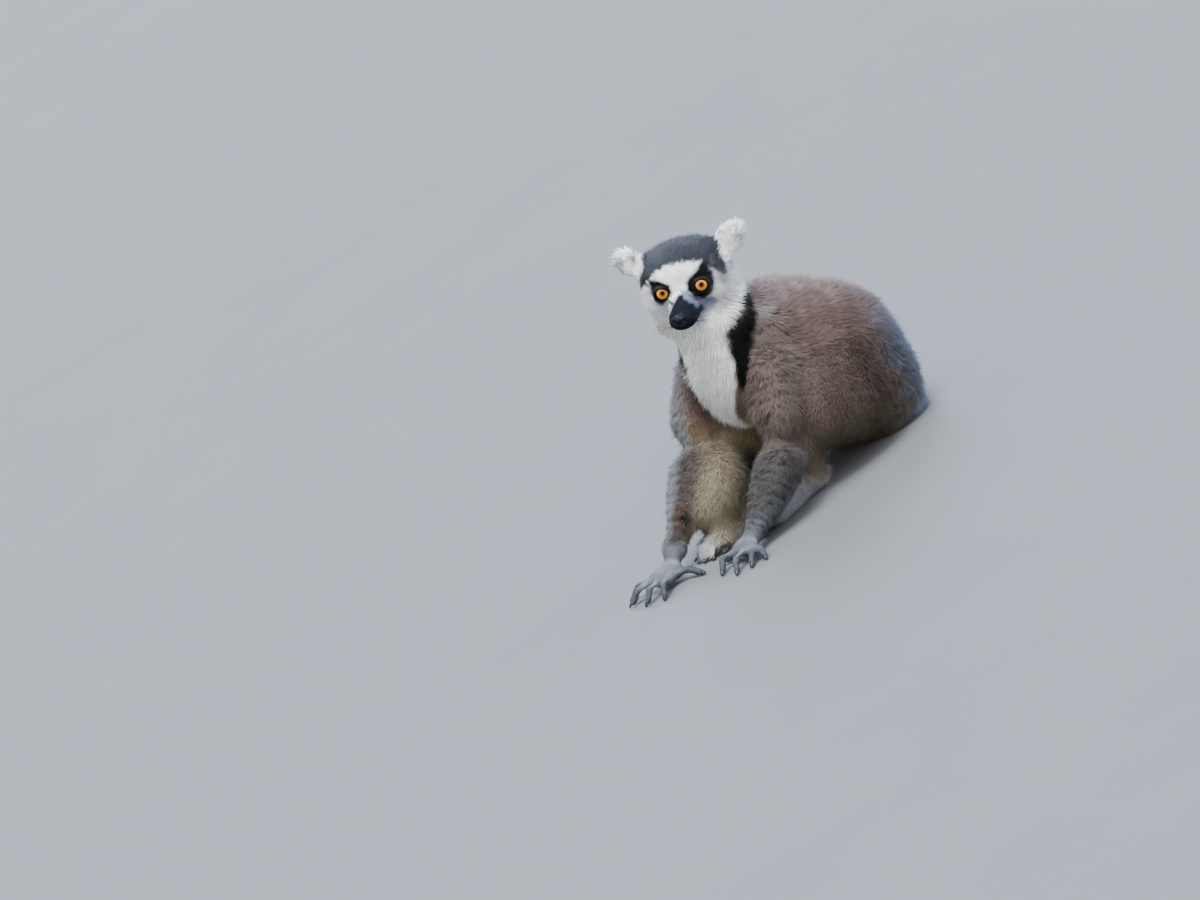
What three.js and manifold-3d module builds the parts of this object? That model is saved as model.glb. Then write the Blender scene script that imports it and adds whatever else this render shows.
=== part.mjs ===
// A ring-tailed lemur at life size, sitting upright on its haunches, with straight forelimbs set down in front of it,
// its head turned to its left and its tail curled round behind its right side.
// Millimetres, +Z up. The animal faces -Y, and its left side is +X. The floor is Z = 0.
// Every solid is the animal's outer shape, out to the tips of the coat.
import * as THREE from "three";
import { mergeVertices } from "three/addons/utils/BufferGeometryUtils.js";
import Module from "manifold-3d";

const wasm = await Module();
wasm.setup();

// ---- driving dimensions ----
const SEAM = 0.3; // the thin cut between two neighbouring solids
const FLAT_DEPTH = 1.2; // how far feet, hands, rump and tail are pressed into the floor to get their flats
const EYE_RADIUS = 8.2;
const EYE_SPACING = 34; // between the pupils
const DIGIT_RADIUS = 3.3;
const TAIL_RADIUS = 22;

// The head's own frame has its origin in the middle of the braincase, and faces -Y.
const HEAD_PLACE = new THREE.Vector3(4, 157, 205);
const HEAD_TURN = 38; // degrees to the animal's left
const HEAD_NOD = -3.3; // degrees, the muzzle raised
const HEAD_TILT = 13; // degrees, the left ear lowered

const ALONG_X = new THREE.Vector3(1, 0, 0);
const degrees = THREE.MathUtils.degToRad;

// ---- a closed limb: oval rings carried along a smooth line, with rounded ends ----
// A station is [x, y, z, half width, back radius, front radius]. The half width runs along `side`,
// and the back radius along side x line, which is upward on a line that runs along +Y. A fullness below 1
// fills the ring out towards a rectangle.
function limb({ line, side = ALONG_X, sides = 12, rings = 6, caps = [1, 1], capRings = 3, fullness = 1 }) {
  const path = new THREE.CatmullRomCurve3(line.map(([x, y, z]) => new THREE.Vector3(x, y, z)));
  const girth = new THREE.CatmullRomCurve3(
    line.map(([, , , width, back, front = back]) => new THREE.Vector3(width, back, front)),
    false,
    "catmullrom",
    0.5,
  );
  const length = path.getLength();
  const meanGirth = (t) => {
    const g = girth.getPoint(t);
    return (2 * g.x + g.y + g.z) / 4;
  };
  const capLength = caps.map((share, end) => Math.min(share * meanGirth(end), 0.48 * length));

  // Distances of the rings along the line, closer together over the rounded ends.
  const distances = [];
  for (let i = 1; i <= capRings; i++) {
    distances.push(capLength[0] * (1 - Math.cos((Math.PI / 2) * (i / capRings))));
  }
  const span = length - capLength[0] - capLength[1];
  for (let i = 1; i < rings; i++) distances.push(capLength[0] + (span * i) / rings);
  for (let i = capRings; i >= 1; i--) {
    distances.push(length - capLength[1] * (1 - Math.cos((Math.PI / 2) * (i / capRings))));
  }
  const rounding = (distance) => {
    const reach = Math.min(distance / capLength[0], (length - distance) / capLength[1], 1);
    return Math.sqrt(1 - (1 - reach) ** 2);
  };

  const positions = [];
  const ringAt = (distance) => {
    const t = path.getUtoTmapping(distance / length);
    const centre = path.getPoint(t);
    const along = path.getTangent(t);
    const across = side.clone().addScaledVector(along, -side.dot(along)).normalize();
    const back = across.clone().cross(along);
    const size = girth.getPoint(t).multiplyScalar(rounding(distance));
    for (let j = 0; j < sides; j++) {
      const angle = (2 * Math.PI * j) / sides;
      const [u, v] = [Math.cos(angle), Math.sin(angle)].map((w) => Math.sign(w) * Math.abs(w) ** fullness);
      const point = centre
        .clone()
        .addScaledVector(across, size.x * u)
        .addScaledVector(back, (v > 0 ? size.y : size.z) * v);
      positions.push(point.x, point.y, point.z);
    }
  };
  distances.forEach(ringAt);
  const first = path.getPoint(0);
  const last = path.getPoint(1);
  positions.push(first.x, first.y, first.z, last.x, last.y, last.z);

  const index = [];
  const count = distances.length;
  const [firstPole, lastPole] = [count * sides, count * sides + 1];
  for (let j = 0; j < sides; j++) {
    const next = (j + 1) % sides;
    index.push(firstPole, j, next);
    for (let i = 0; i < count - 1; i++) {
      const [a, b, c, d] = [i * sides + j, i * sides + next, (i + 1) * sides + j, (i + 1) * sides + next];
      index.push(a, c, b, b, c, d);
    }
    index.push(lastPole, (count - 1) * sides + next, (count - 1) * sides + j);
  }
  return new THREE.BufferGeometry()
    .setAttribute("position", new THREE.BufferAttribute(new Float32Array(positions), 3))
    .setIndex(index);
}

// ---- solids ----
function solidOf(geometry) {
  const bare = new THREE.BufferGeometry()
    .setAttribute("position", geometry.getAttribute("position"))
    .setIndex(geometry.getIndex());
  const merged = mergeVertices(bare, 1e-4);
  return new wasm.Manifold(
    new wasm.Mesh({
      numProp: 3,
      vertProperties: merged.getAttribute("position").array,
      triVerts: new Uint32Array(merged.getIndex().array),
    }),
  );
}

function geometryOf(solid) {
  const { vertProperties, triVerts } = solid.getMesh();
  const geometry = new THREE.BufferGeometry()
    .setAttribute("position", new THREE.BufferAttribute(new Float32Array(vertProperties), 3))
    .setIndex(new THREE.BufferAttribute(new Uint32Array(triVerts), 1));
  geometry.computeVertexNormals();
  return geometry;
}

// The same shape, thicker by the seam all round.
function swollen(solid) {
  const geometry = geometryOf(solid);
  const position = geometry.getAttribute("position");
  const normal = geometry.getAttribute("normal");
  for (let i = 0; i < position.count; i++) {
    position.setXYZ(
      i,
      position.getX(i) + SEAM * normal.getX(i),
      position.getY(i) + SEAM * normal.getY(i),
      position.getZ(i) + SEAM * normal.getZ(i),
    );
  }
  return solidOf(geometry);
}

const joined = (solids) => solids.reduce((whole, piece) => whole.add(piece));
const biggest = (solid) => solid.decompose().sort((a, b) => b.volume() - a.volume())[0];

// ---- the head and what it carries, in the head's own frame ----
const headFrame = new THREE.Matrix4()
  .makeRotationFromEuler(new THREE.Euler(degrees(HEAD_NOD), degrees(HEAD_TILT), degrees(HEAD_TURN), "ZXY"))
  .setPosition(HEAD_PLACE);

const cranium = () =>
  limb({
    sides: 20,
    rings: 5,
    capRings: 4,
    fullness: 0.82,
    line: [
      [0, -27, -3, 24, 18, 22],
      [0, -19, -1, 32, 27, 30],
      [0, -7, 0, 38, 34, 35],
      [0, 8, 1, 40.5, 37, 36],
      [0, 24, 0, 38, 35, 35],
      [0, 43, -4, 26, 26, 28],
    ],
    caps: [0.4, 1],
  });

const muzzle = () =>
  limb({
    rings: 5,
    fullness: 0.9,
    line: [
      [0, -57.5, -17.5, 6.5, 5.5, 6.5],
      [0, -51, -17, 9.5, 7.5, 9],
      [0, -43, -15.5, 11.5, 9, 11.5],
      [0, -32, -12, 12, 11, 14],
      [0, -14, -6, 13, 14, 18],
    ],
    caps: [0.8, 0.5],
  });

// The ruff of long fur that fills the cheeks out, from one side of the face under the jaw to the other.
const ruff = () =>
  limb({
    side: new THREE.Vector3(0, -1, 0),
    line: [
      [-30, 10, -16, 22, 18, 19],
      [-16, 4, -24, 23, 18, 19],
      [0, 1, -27, 21, 18, 18],
      [16, 4, -24, 23, 18, 19],
      [30, 10, -16, 22, 18, 19],
    ],
    caps: [0.6, 0.6],
  });

const nosePad = () =>
  limb({
    sides: 10,
    rings: 2,
    capRings: 2,
    line: [
      [0, -59, -15.5, 5, 4.2, 4.6],
      [0, -56, -15, 5.6, 4.6, 5.2],
      [0, -53, -14, 5, 4, 4.6],
    ],
    caps: [0.5, 0.5],
  });

const EYE_PLACE = new THREE.Vector3(EYE_SPACING / 2, -21.5, 2.5);

function eyeball(hand) {
  const ball = new THREE.SphereGeometry(EYE_RADIUS, 14, 10).rotateX(Math.PI / 2);
  return ball.translate(hand * EYE_PLACE.x, EYE_PLACE.y, EYE_PLACE.z);
}

// An ear is a furred paddle that stands out from the head by its reach.
const ear = (hand, reach) =>
  limb({
    rings: 3,
    side: new THREE.Vector3(-0.62 * hand, 0, 0.78),
    line: [
      [hand * 28, 8, 16, 12, 7, 7],
      [hand * (28 + 10 * reach), 7, 16 + 9 * reach, 14.5, 7, 6],
      [hand * (28 + 20 * reach), 5, 16 + 17.5 * reach, 13.5, 6, 5],
      [hand * (28 + 28 * reach), 4, 16 + 26 * reach, 7, 4, 4],
    ],
    caps: [0.3, 0.9],
  });

// ---- the body ----
const neck = () =>
  limb({
    sides: 16,
    rings: 3,
    capRings: 2,
    line: [
      [5, 158, 196, 33, 30, 30],
      [3, 162, 178, 36, 34, 33],
      [1, 168, 158, 41, 39, 40],
      [0, 174, 132, 44, 40, 50],
    ],
    caps: [0.6, 0.6],
  });

const trunk = () =>
  limb({
    sides: 24,
    rings: 11,
    line: [
      [0, 119, 110, 36, 40, 40],
      [0, 147, 114, 45, 48, 46],
      [0, 178, 115, 53, 58, 46],
      [0, 212, 106, 60, 63, 40],
      [0, 240, 87, 66, 66, 34],
      [0, 253, 60, 69, 63, 34],
      [0, 252, 30, 66, 61, 38],
      [0, 249, -FLAT_DEPTH, 58, 52, 38],
    ],
    caps: [0.65, 0.25],
  });

const thigh = (hand, hip, knee) =>
  limb({
    sides: 14,
    rings: 5,
    line: [
      [hand * 38, hip[0], hip[1], 33, 44, 50],
      [hand * 46, hip[0] - 30, hip[1] + 6, 36, 46, 57],
      [hand * 51, hip[0] - 66, hip[1] + 11, 33, 40, 58],
      [hand * knee[0], knee[1], knee[2], 24, 26, 42],
    ],
    caps: [0.8, 0.8],
  });

const shank = (line) => limb({ rings: 4, capRings: 2, line, caps: [0.9, 0.7] });

const armPart = (line) => limb({ rings: 5, capRings: 2, line, caps: [0.9, 0.8] });

// A digit runs from its knuckle over a raised middle joint to a tip that presses on the floor.
function digit(knuckle, joint, tip, radius = DIGIT_RADIUS) {
  return limb({
    sides: 6,
    rings: 2,
    capRings: 2,
    line: [
      [...knuckle, 1.15 * radius, radius],
      [...joint, 1.1 * radius, radius],
      [0.35 * joint[0] + 0.65 * tip[0], 0.35 * joint[1] + 0.65 * tip[1], 0.45 * joint[2] + 0.55 * tip[2], radius, 0.95 * radius],
      [...tip, 0.95 * radius, 0.85 * radius],
    ],
    caps: [0.8, 0.9],
  });
}

const paw = (palm, digits) =>
  joined([
    limb({ sides: 10, rings: 3, capRings: 2, line: palm, caps: [0.7, 0.7] }),
    ...digits.map((points) => digit(...points)),
  ].map(solidOf));

const TIP = DIGIT_RADIUS * 0.85 - FLAT_DEPTH; // height of a digit's tip above the floor

const rightHand = () =>
  paw(
    [
      [-29, 31, 13, 11, 8, 8],
      [-29, 18, 11, 14, 8, 8],
      [-30, 2, 10, 17, 7, 7],
    ],
    [
      [[-22, 20, 9], [-8, 24, 8], [6, 25, TIP]],
      [[-19, 6, 10], [-11, -6, 10], [-9, -11, TIP]],
      [[-28, 4, 10], [-25, -9, 12], [-26, -18, TIP]],
      [[-37, 5, 10], [-44, -5, 12], [-50, -16, TIP]],
      [[-41, 8, 10], [-53, 3, 11], [-61, -5, TIP]],
    ],
  );

const leftHand = () =>
  paw(
    [
      [50, 54, 12, 10, 8, 8],
      [51, 46, 11, 13, 8, 8],
      [54, 37, 10, 17, 7, 7],
    ],
    [
      [[42, 46, 9], [33, 43, 8], [24, 38, TIP]],
      [[44, 40, 10], [36, 30, 12], [40, 18, TIP]],
      [[54, 38, 10], [57, 26, 12], [63, 15, TIP]],
      [[57, 43, 10], [69, 34, 11], [73, 25, TIP]],
      [[62, 46, 9], [72, 42, 10], [80, 36, TIP]],
    ],
  );

// A hind foot, flat on the floor: the heel, the sole and five toes, the great toe set apart.
function foot(hand, heel, length) {
  const [x, y] = heel;
  const at = (side, along, up, ...size) => [hand * (x + side), y - along * length, up, ...size];
  const toe = (side, spread, reach) => [
    at(side, 0.75, 9),
    at(side + spread * 0.5, reach - 0.09, 11),
    at(side + spread, reach, TIP),
  ];
  return paw(
    [at(0, 0, 11, 11, 11, 11), at(0, 0.25, 13, 14, 13, 13), at(0, 0.55, 12.5, 17, 17, 12), at(0, 0.82, 10, 19, 12, 9)],
    [
      [at(-11, 0.62, 9), at(-17, 0.76, 9), at(-19, 0.88, TIP)],
      toe(-9, -2, 0.97),
      toe(-2, 0, 1),
      toe(5, 1, 1),
      toe(12, 3, 0.95),
    ],
  );
}

// ---- the tail lies on the floor in one curl, from the rump round behind the right side ----
const TAIL_LINE = [
  [-4, 254],
  [-46, 276],
  [-92, 294],
  [-142, 314],
  [-190, 336],
  [-234, 353],
  [-276, 355],
  [-301, 334],
  [-296, 304],
  [-264, 288],
  [-220, 276],
  [-176, 258],
  [-136, 236],
  [-104, 213],
];
const TAIL_LENGTHS = 4;
const TAIL_RINGS = [4, 4, 8, 4]; // the third length makes the bend

function tailLength(number) {
  const path = new THREE.CatmullRomCurve3(TAIL_LINE.map(([x, y]) => new THREE.Vector3(x, y, 0)));
  const line = [];
  const steps = 5;
  for (let i = 0; i <= steps; i++) {
    const share = (number + i / steps) / TAIL_LENGTHS;
    const point = path.getPointAt(share);
    const radius = TAIL_RADIUS * (1 - 0.22 * share ** 2);
    line.push([point.x, point.y, radius - FLAT_DEPTH, radius, radius]);
  }
  const isTip = number === TAIL_LENGTHS - 1;
  return limb({
    sides: 10,
    rings: TAIL_RINGS[number],
    side: new THREE.Vector3(0, 0, 1),
    line,
    caps: [number ? 0.05 : 0.8, isTip ? 1 : 0.05],
  });
}

// ---- the animal's sub-parts, each cut back by the seam where an earlier one already is ----
const RIGHT = -1;
const LEFT = 1;
const KNEE = { [LEFT]: [56, 142, 68], [RIGHT]: [43, 126, 73] };

const EAR_REACH = { [LEFT]: 0.95, [RIGHT]: 0.84 }; // the right ear is laid back a little

const inHead = (geometry) => solidOf(geometry.applyMatrix4(headFrame));
const BUILDERS = {
  eye_left: () => inHead(eyeball(LEFT)),
  eye_right: () => inHead(eyeball(RIGHT)),
  nose: () => inHead(nosePad()),
  head: () => joined([inHead(cranium()), inHead(muzzle()), inHead(ruff())]),
  ear_left: () => inHead(ear(LEFT, EAR_REACH[LEFT])),
  ear_right: () => inHead(ear(RIGHT, EAR_REACH[RIGHT])),
  trunk: () => solidOf(trunk()),
  neck: () => solidOf(neck()),
  thigh_left: () => solidOf(thigh(LEFT, [252, 52], KNEE[LEFT])),
  thigh_right: () => solidOf(thigh(RIGHT, [252, 52], KNEE[RIGHT])),
  foot_left: () => foot(LEFT, [25, 176], 106),
  foot_right: () => foot(RIGHT, [17, 135], 88),
  shank_left: () =>
    solidOf(
      shank([
        [56, 142, 68, 22, 20, 22],
        [41, 152, 45, 21, 21, 21],
        [26, 162, 22, 18, 18, 18],
      ]),
    ),
  shank_right: () =>
    solidOf(
      shank([
        [-41, 128, 73, 23, 25, 27],
        [-25, 108, 46, 26, 29, 27],
        [-14, 73, 20, 21, 22, 22],
      ]),
    ),
  upper_arm_left: () =>
    solidOf(
      armPart([
        [38, 172, 136, 24, 33, 30],
        [44, 160, 114, 25, 31, 29],
        [51, 144, 86, 25, 27, 27],
        [55, 131, 60, 24, 25, 25],
      ]),
    ),
  upper_arm_right: () =>
    solidOf(
      armPart([
        [-28, 166, 146, 19, 26, 24],
        [-35, 152, 130, 20, 23, 21],
        [-43, 130, 103, 20, 20, 19],
        [-44, 115, 76, 20, 20, 19],
      ]),
    ),
  forearm_left: () =>
    solidOf(
      armPart([
        [55, 131, 60, 23, 25, 24],
        [55, 108, 44, 22, 23, 23],
        [53, 82, 28, 18, 19, 18],
        [51, 62, 18, 12, 13, 12],
        [50, 51, 13, 9.5, 9, 9],
      ]),
    ),
  forearm_right: () =>
    solidOf(
      armPart([
        [-44, 114, 75, 21, 20, 20],
        [-40, 96, 61, 21, 20, 20],
        [-35, 69, 46, 17, 16, 16],
        [-32, 47, 32, 13, 12.5, 12.5],
        [-30, 29, 15, 10.5, 10.5, 10.5],
      ]),
    ),
  hand_left: leftHand,
  hand_right: rightHand,
};
for (let i = 0; i < TAIL_LENGTHS; i++) BUILDERS[`tail_${i + 1}`] = () => solidOf(tailLength(i));

// ---- colours of the coat and skin ----
const finish = (color, roughness = 0.9) => new THREE.MeshStandardMaterial({ color, roughness, metalness: 0 });
const FINISHES = {
  eye: finish("#c8761b", 0.1),
  nose: finish("#15171b", 0.35),
  head: finish("#d9d8d2"),
  ear: finish("#e9ebec"),
  neck: finish("#cfcfc8"),
  trunk: finish("#8d7668"),
  thigh: finish("#86756a"),
  shank: finish("#b9b3a4"),
  upper_arm: finish("#7f7065"),
  forearm: finish("#83807c"),
  hand: finish("#8f9296", 0.7),
  foot: finish("#a3a4a3", 0.7),
  tail: finish("#6c6a68"),
};
const finishOf = (name) => FINISHES[name.replace(/_(left|right|\d)$/, "")];

// ---- assembly ----
const under = new THREE.BoxGeometry(1000, 1000, 100).translate(0, 200, -50);
const underFloor = solidOf(under);

const figure = new THREE.Group();
const head = new THREE.Group();
head.applyMatrix4(headFrame);
figure.add(head);
const outOfHead = headFrame.clone().invert();
const HEAD_PARTS = new Set(["eye_left", "eye_right", "nose", "head", "ear_left", "ear_right"]);

const cutters = [];
for (const [name, build] of Object.entries(BUILDERS)) {
  const whole = build();
  const trimmed = cutters.reduce((rest, cutter) => rest.subtract(cutter), whole.subtract(underFloor));
  cutters.push(swollen(whole));
  const geometry = geometryOf(biggest(trimmed));
  const mesh = new THREE.Mesh(geometry, finishOf(name));
  mesh.name = name;
  if (HEAD_PARTS.has(name)) {
    geometry.applyMatrix4(outOfHead);
    head.add(mesh);
  } else {
    figure.add(mesh);
  }
}

// The part's origin is on the floor, under the middle of its box.
figure.updateMatrixWorld(true);
const box = new THREE.Box3().setFromObject(figure, true);
figure.position.set(-(box.min.x + box.max.x) / 2, -(box.min.y + box.max.y) / 2, -box.min.z);

export default new THREE.Group().add(figure);
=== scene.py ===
"""A ring-tailed lemur at life size.

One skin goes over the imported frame. The coat, eyes, lids, nose, whiskers and nails go on the skin.
"""

import bmesh
import bpy
import numpy as np
from mathutils import Matrix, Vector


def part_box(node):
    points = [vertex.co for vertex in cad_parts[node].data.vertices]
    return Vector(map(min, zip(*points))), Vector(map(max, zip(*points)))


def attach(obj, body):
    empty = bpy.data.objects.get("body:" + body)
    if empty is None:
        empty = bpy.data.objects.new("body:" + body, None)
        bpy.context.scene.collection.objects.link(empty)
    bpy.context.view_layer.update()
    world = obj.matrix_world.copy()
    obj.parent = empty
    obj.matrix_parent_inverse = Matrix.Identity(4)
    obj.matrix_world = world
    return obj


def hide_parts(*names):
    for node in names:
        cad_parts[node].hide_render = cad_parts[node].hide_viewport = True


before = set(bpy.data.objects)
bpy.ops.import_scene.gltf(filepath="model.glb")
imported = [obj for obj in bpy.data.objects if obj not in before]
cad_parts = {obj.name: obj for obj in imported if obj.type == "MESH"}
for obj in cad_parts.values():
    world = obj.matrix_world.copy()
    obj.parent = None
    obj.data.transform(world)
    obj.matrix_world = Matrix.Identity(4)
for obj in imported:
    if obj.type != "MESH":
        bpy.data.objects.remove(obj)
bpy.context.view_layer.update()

# ---------------------------------------------------------------- measures
# Lengths are millimetres in the animal's own frame: it faces -Y, its left side is +X, and it rests on z = 0.
MM = 0.001
EYE_RADIUS = 8.2
EYE_SOCKET = (17.0, -21.5, 2.5)  # left eye's centre in the head's own frame
EYE_SOCKETS = {hand: (hand * EYE_SOCKET[0], EYE_SOCKET[1], EYE_SOCKET[2]) for hand in (1, -1)}
HEAD_POINT = np.array([4.0, 157.0, 205.0])
SKIN_VOXEL = 2.1
LID_TUCK, LID_RIM = 7.0, 9.0  # distances of the skin from the eye's centre, inside the opening and at its rim
SEAM_SWELL = 0.5  # what each solid of flesh swells by, so that the seams between them close
SOCKET_SHRINK = 0.6  # what the eyes and nose shrink by in the skin, so that their own pieces cover them
FLOOR_GAP = 0.3  # the least height of the coat and nails over the floor
PATCH = 0.003  # width of a tuft's patch on the coat's UV map


def turned(axis, degrees):
    """Rotation matrix about the x, y or z axis."""
    c, s = np.cos(np.radians(degrees)), np.sin(np.radians(degrees))
    i, j = [(1, 2), (2, 0), (0, 1)][axis]
    m = np.eye(3)
    m[i, i] = m[j, j] = c
    m[i, j], m[j, i] = -s, s
    return m


HEAD = turned(2, 38) @ turned(0, -3.3) @ turned(1, 13)


def node_centre(name):
    """Middle of a node's box, in millimetres of the frame."""
    lo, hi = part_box(name)
    return 0.5 * (np.array(lo) + np.array(hi)) / MM


eyes_middle = 0.5 * (node_centre("eye_left") + node_centre("eye_right"))
SHIFT = eyes_middle - HEAD @ np.array([0, EYE_SOCKET[1], EYE_SOCKET[2]]) - HEAD_POINT
SHIFT[2] = 0.0


def from_head(p):
    """A point of the head's own frame in the animal's frame."""
    return np.asarray(p, float) @ HEAD.T + HEAD_POINT


def to_head(p):
    """A point of the animal's frame in the head's own frame."""
    return (np.asarray(p, float) - HEAD_POINT) @ HEAD


def unit(v):
    """Vectors scaled to length 1."""
    return v / np.maximum(np.linalg.norm(v, axis=-1, keepdims=True), 1e-9)


def step(x, lo, hi):
    """Smooth rise from 0 at lo to 1 at hi."""
    t = np.clip((x - lo) / (hi - lo), 0, 1)
    return t * t * (3 - 2 * t)


def linear(hex_colour):
    """An sRGB hex colour as linear red, green and blue."""
    c = np.array([int(hex_colour[i : i + 2], 16) / 255 for i in (1, 3, 5)])
    return np.where(c <= 0.04045, c / 12.92, ((c + 0.055) / 1.055) ** 2.4)


# ---------------------------------------------------------------- the bones that the coat follows
EAR_REACH = {1: 0.95, -1: 0.84}


def ear_line(hand):
    """The ear's straight centre line, out and up from the head, widest at two fifths."""
    r = EAR_REACH[hand]
    widths = ((0, 12), (0.4, 14), (0.75, 13), (1, 8))
    return [(hand * (27 + 28 * r * t), 8 - 4 * t, 15 + 27 * r * t, radius) for t, radius in widths]


def in_head(line):
    """A path of (x, y, z, radius) of the head's own frame in the animal's frame."""
    line = np.array(line, float)
    return np.hstack([from_head(line[:, :3]), line[:, 3:]])


TAIL_XY = [
    (-4, 254), (-46, 276), (-92, 294), (-142, 314), (-190, 336), (-234, 353), (-276, 355), (-301, 334),
    (-296, 304), (-264, 288), (-220, 276), (-176, 258), (-136, 236), (-104, 213)
]


def tail_line():
    """The tail's centre line on the floor, its radius narrowing by 22% to the tip."""
    xy = np.array(TAIL_XY, float)
    run = np.r_[0, np.cumsum(np.linalg.norm(np.diff(xy, axis=0), axis=1))]
    share = run / run[-1]
    radius = 22 * (1 - 0.22 * share**2)
    return np.column_stack([xy, radius - 1.2, radius])


def digit_lines(points):
    """Digits' centre lines with their radius."""
    return [[(*p, DIGIT_RADIUS) for p in row] for row in points]


DIGIT_RADIUS = 3.3
DIGIT_TIP = 1.6  # height of the last joint's end over the floor
RIGHT_DIGITS = [
    [(-22, 20, 9), (-8, 24, 8), (6, 25, DIGIT_TIP)], [(-19, 6, 10), (-11, -6, 10), (-9, -11, DIGIT_TIP)],
    [(-28, 4, 10), (-25, -9, 12), (-26, -18, DIGIT_TIP)],
    [(-37, 5, 10), (-44, -5, 12), (-50, -16, DIGIT_TIP)], [(-41, 8, 10), (-53, 3, 11), (-61, -5, DIGIT_TIP)]
]
LEFT_DIGITS = [
    [(42, 46, 9), (33, 43, 8), (24, 38, DIGIT_TIP)], [(44, 40, 10), (36, 30, 12), (40, 18, DIGIT_TIP)],
    [(54, 38, 10), (57, 26, 12), (63, 15, DIGIT_TIP)], [(57, 43, 10), (69, 34, 11), (73, 25, DIGIT_TIP)],
    [(62, 46, 9), (72, 42, 10), (80, 36, DIGIT_TIP)]
]

TRUNK_LINE = [
    (0, 119, 110, 38), (0, 147, 114, 46), (0, 178, 115, 52), (0, 212, 106, 58), (0, 240, 87, 60),
    (0, 250, 60, 62), (0, 250, 30, 58), (0, 249, 5, 54)
]
LEFT_THIGH_LINE = [(38, 252, 52, 44), (46, 222, 58, 47), (51, 186, 63, 46), (56, 142, 68, 25)]
RIGHT_THIGH_LINE = [(-38, 252, 52, 44), (-46, 222, 58, 47), (-51, 186, 63, 46), (-43, 126, 73, 25)]
TAIL_LINE = tail_line()
# each bone is the name of its region and a path of (x, y, z, radius)
BONES = [
    ("head", in_head([(0, -20, 0, 33), (0, 0, 1, 38), (0, 24, 0, 38), (0, 40, -4, 29)])),
    ("muzzle", in_head([(0, -60, -17.5, 6.5), (0, -51, -17, 9), (0, -43, -15.5, 11.5), (0, -32, -12, 13)])),
    (
        "ruff",
        in_head(
            [(-30, 10, -16, 20), (-16, 4, -24, 20), (0, 1, -27, 19), (16, 4, -24, 20), (30, 10, -16, 20)]
        )
    ),
    ("ear", in_head(ear_line(1))),
    ("ear", in_head(ear_line(-1))),
    ("neck", [(5, 158, 190, 32), (3, 162, 178, 35), (1, 168, 158, 40), (0, 174, 138, 42)]),
    ("trunk", TRUNK_LINE),
    ("thigh", LEFT_THIGH_LINE),
    ("thigh", RIGHT_THIGH_LINE),
    ("shank", [(56, 142, 68, 22), (26, 162, 22, 18)]),
    ("shank", [(-41, 128, 73, 25), (-25, 108, 46, 27), (-14, 73, 20, 22)]),
    ("foot", [(25, 176, 11, 11), (25, 150, 13, 13), (25, 118, 12.5, 14), (25, 90, 10, 14)]),
    ("foot", [(-17, 135, 11, 11), (-17, 113, 13, 13), (-17, 87, 13, 15), (-17, 63, 10, 15)]),
    ("upper", [(38, 172, 136, 27), (44, 160, 114, 27), (51, 144, 86, 26), (55, 131, 60, 25)]),
    ("upper", [(-28, 166, 146, 22), (-35, 152, 130, 21), (-43, 130, 103, 20), (-44, 115, 76, 20)]),
    ("fore", [(55, 131, 60, 23), (55, 108, 44, 22), (53, 82, 28, 18), (51, 62, 18, 12)]),
    ("fore", [(-44, 114, 75, 21), (-40, 96, 61, 21), (-35, 69, 46, 17), (-32, 47, 32, 13)]),
    ("hand", [(51, 60, 16, 11), (51, 46, 11, 12), (54, 37, 10, 14)]),
    ("hand", [(-31, 36, 20, 11), (-29, 18, 11, 12), (-30, 2, 10, 14)]),
    *[("digit", line) for line in digit_lines(LEFT_DIGITS + RIGHT_DIGITS)],
    ("tail", TAIL_LINE),
]
REGIONS = [
    "head", "muzzle", "ruff", "ear", "neck", "trunk", "thigh", "shank", "foot", "upper", "fore", "hand",
    "digit", "tail"
]
R = {name: i for i, name in enumerate(REGIONS)}


def along(points, line):
    """Nearest place on a path of (x, y, z, radius).

    Gives the distance as a share of the radius there, the length run, the direction and the vector out.
    """
    line = np.asarray(line, float)
    best = np.full(len(points), np.inf)
    run = np.zeros(len(points))
    way = np.zeros((len(points), 3))
    out = np.zeros((len(points), 3))
    start = 0.0
    for a, b in zip(line[:-1], line[1:]):
        ab = b[:3] - a[:3]
        length = np.linalg.norm(ab)
        t = np.clip((points - a[:3]) @ ab / length**2, 0, 1)
        off = points - a[:3] - t[:, None] * ab
        q = np.linalg.norm(off, axis=1) / (a[3] + t * (b[3] - a[3]))
        m = q < best
        best[m], run[m], way[m], out[m] = q[m], start + t[m] * length, ab / length, off[m]
        start += length
    return best, run, way, out


def region_shares(points, sharp=12.0):
    """Each point's share in each region, from its distance to the bones, and the bones' direction there."""
    q = np.full((len(points), len(REGIONS)), 9.0)
    way = np.zeros((len(REGIONS), len(points), 3))
    for name, line in BONES:
        k = R[name]
        d, _, w, _ = along(points, line)
        m = d < q[:, k]
        q[m, k] = d[m]
        way[k][m] = w[m]
    share = np.exp(-sharp * (q - q.min(1, keepdims=True)))
    share /= share.sum(1, keepdims=True)
    return share, np.einsum("nk,knj->nj", share, way)


def per_region(share, **values):
    """Mixes one number per region by the shares; 'rest' is the number of every region not named."""
    table = np.array([values.get(name, values["rest"]) for name in REGIONS], float)
    return share @ table


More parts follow.
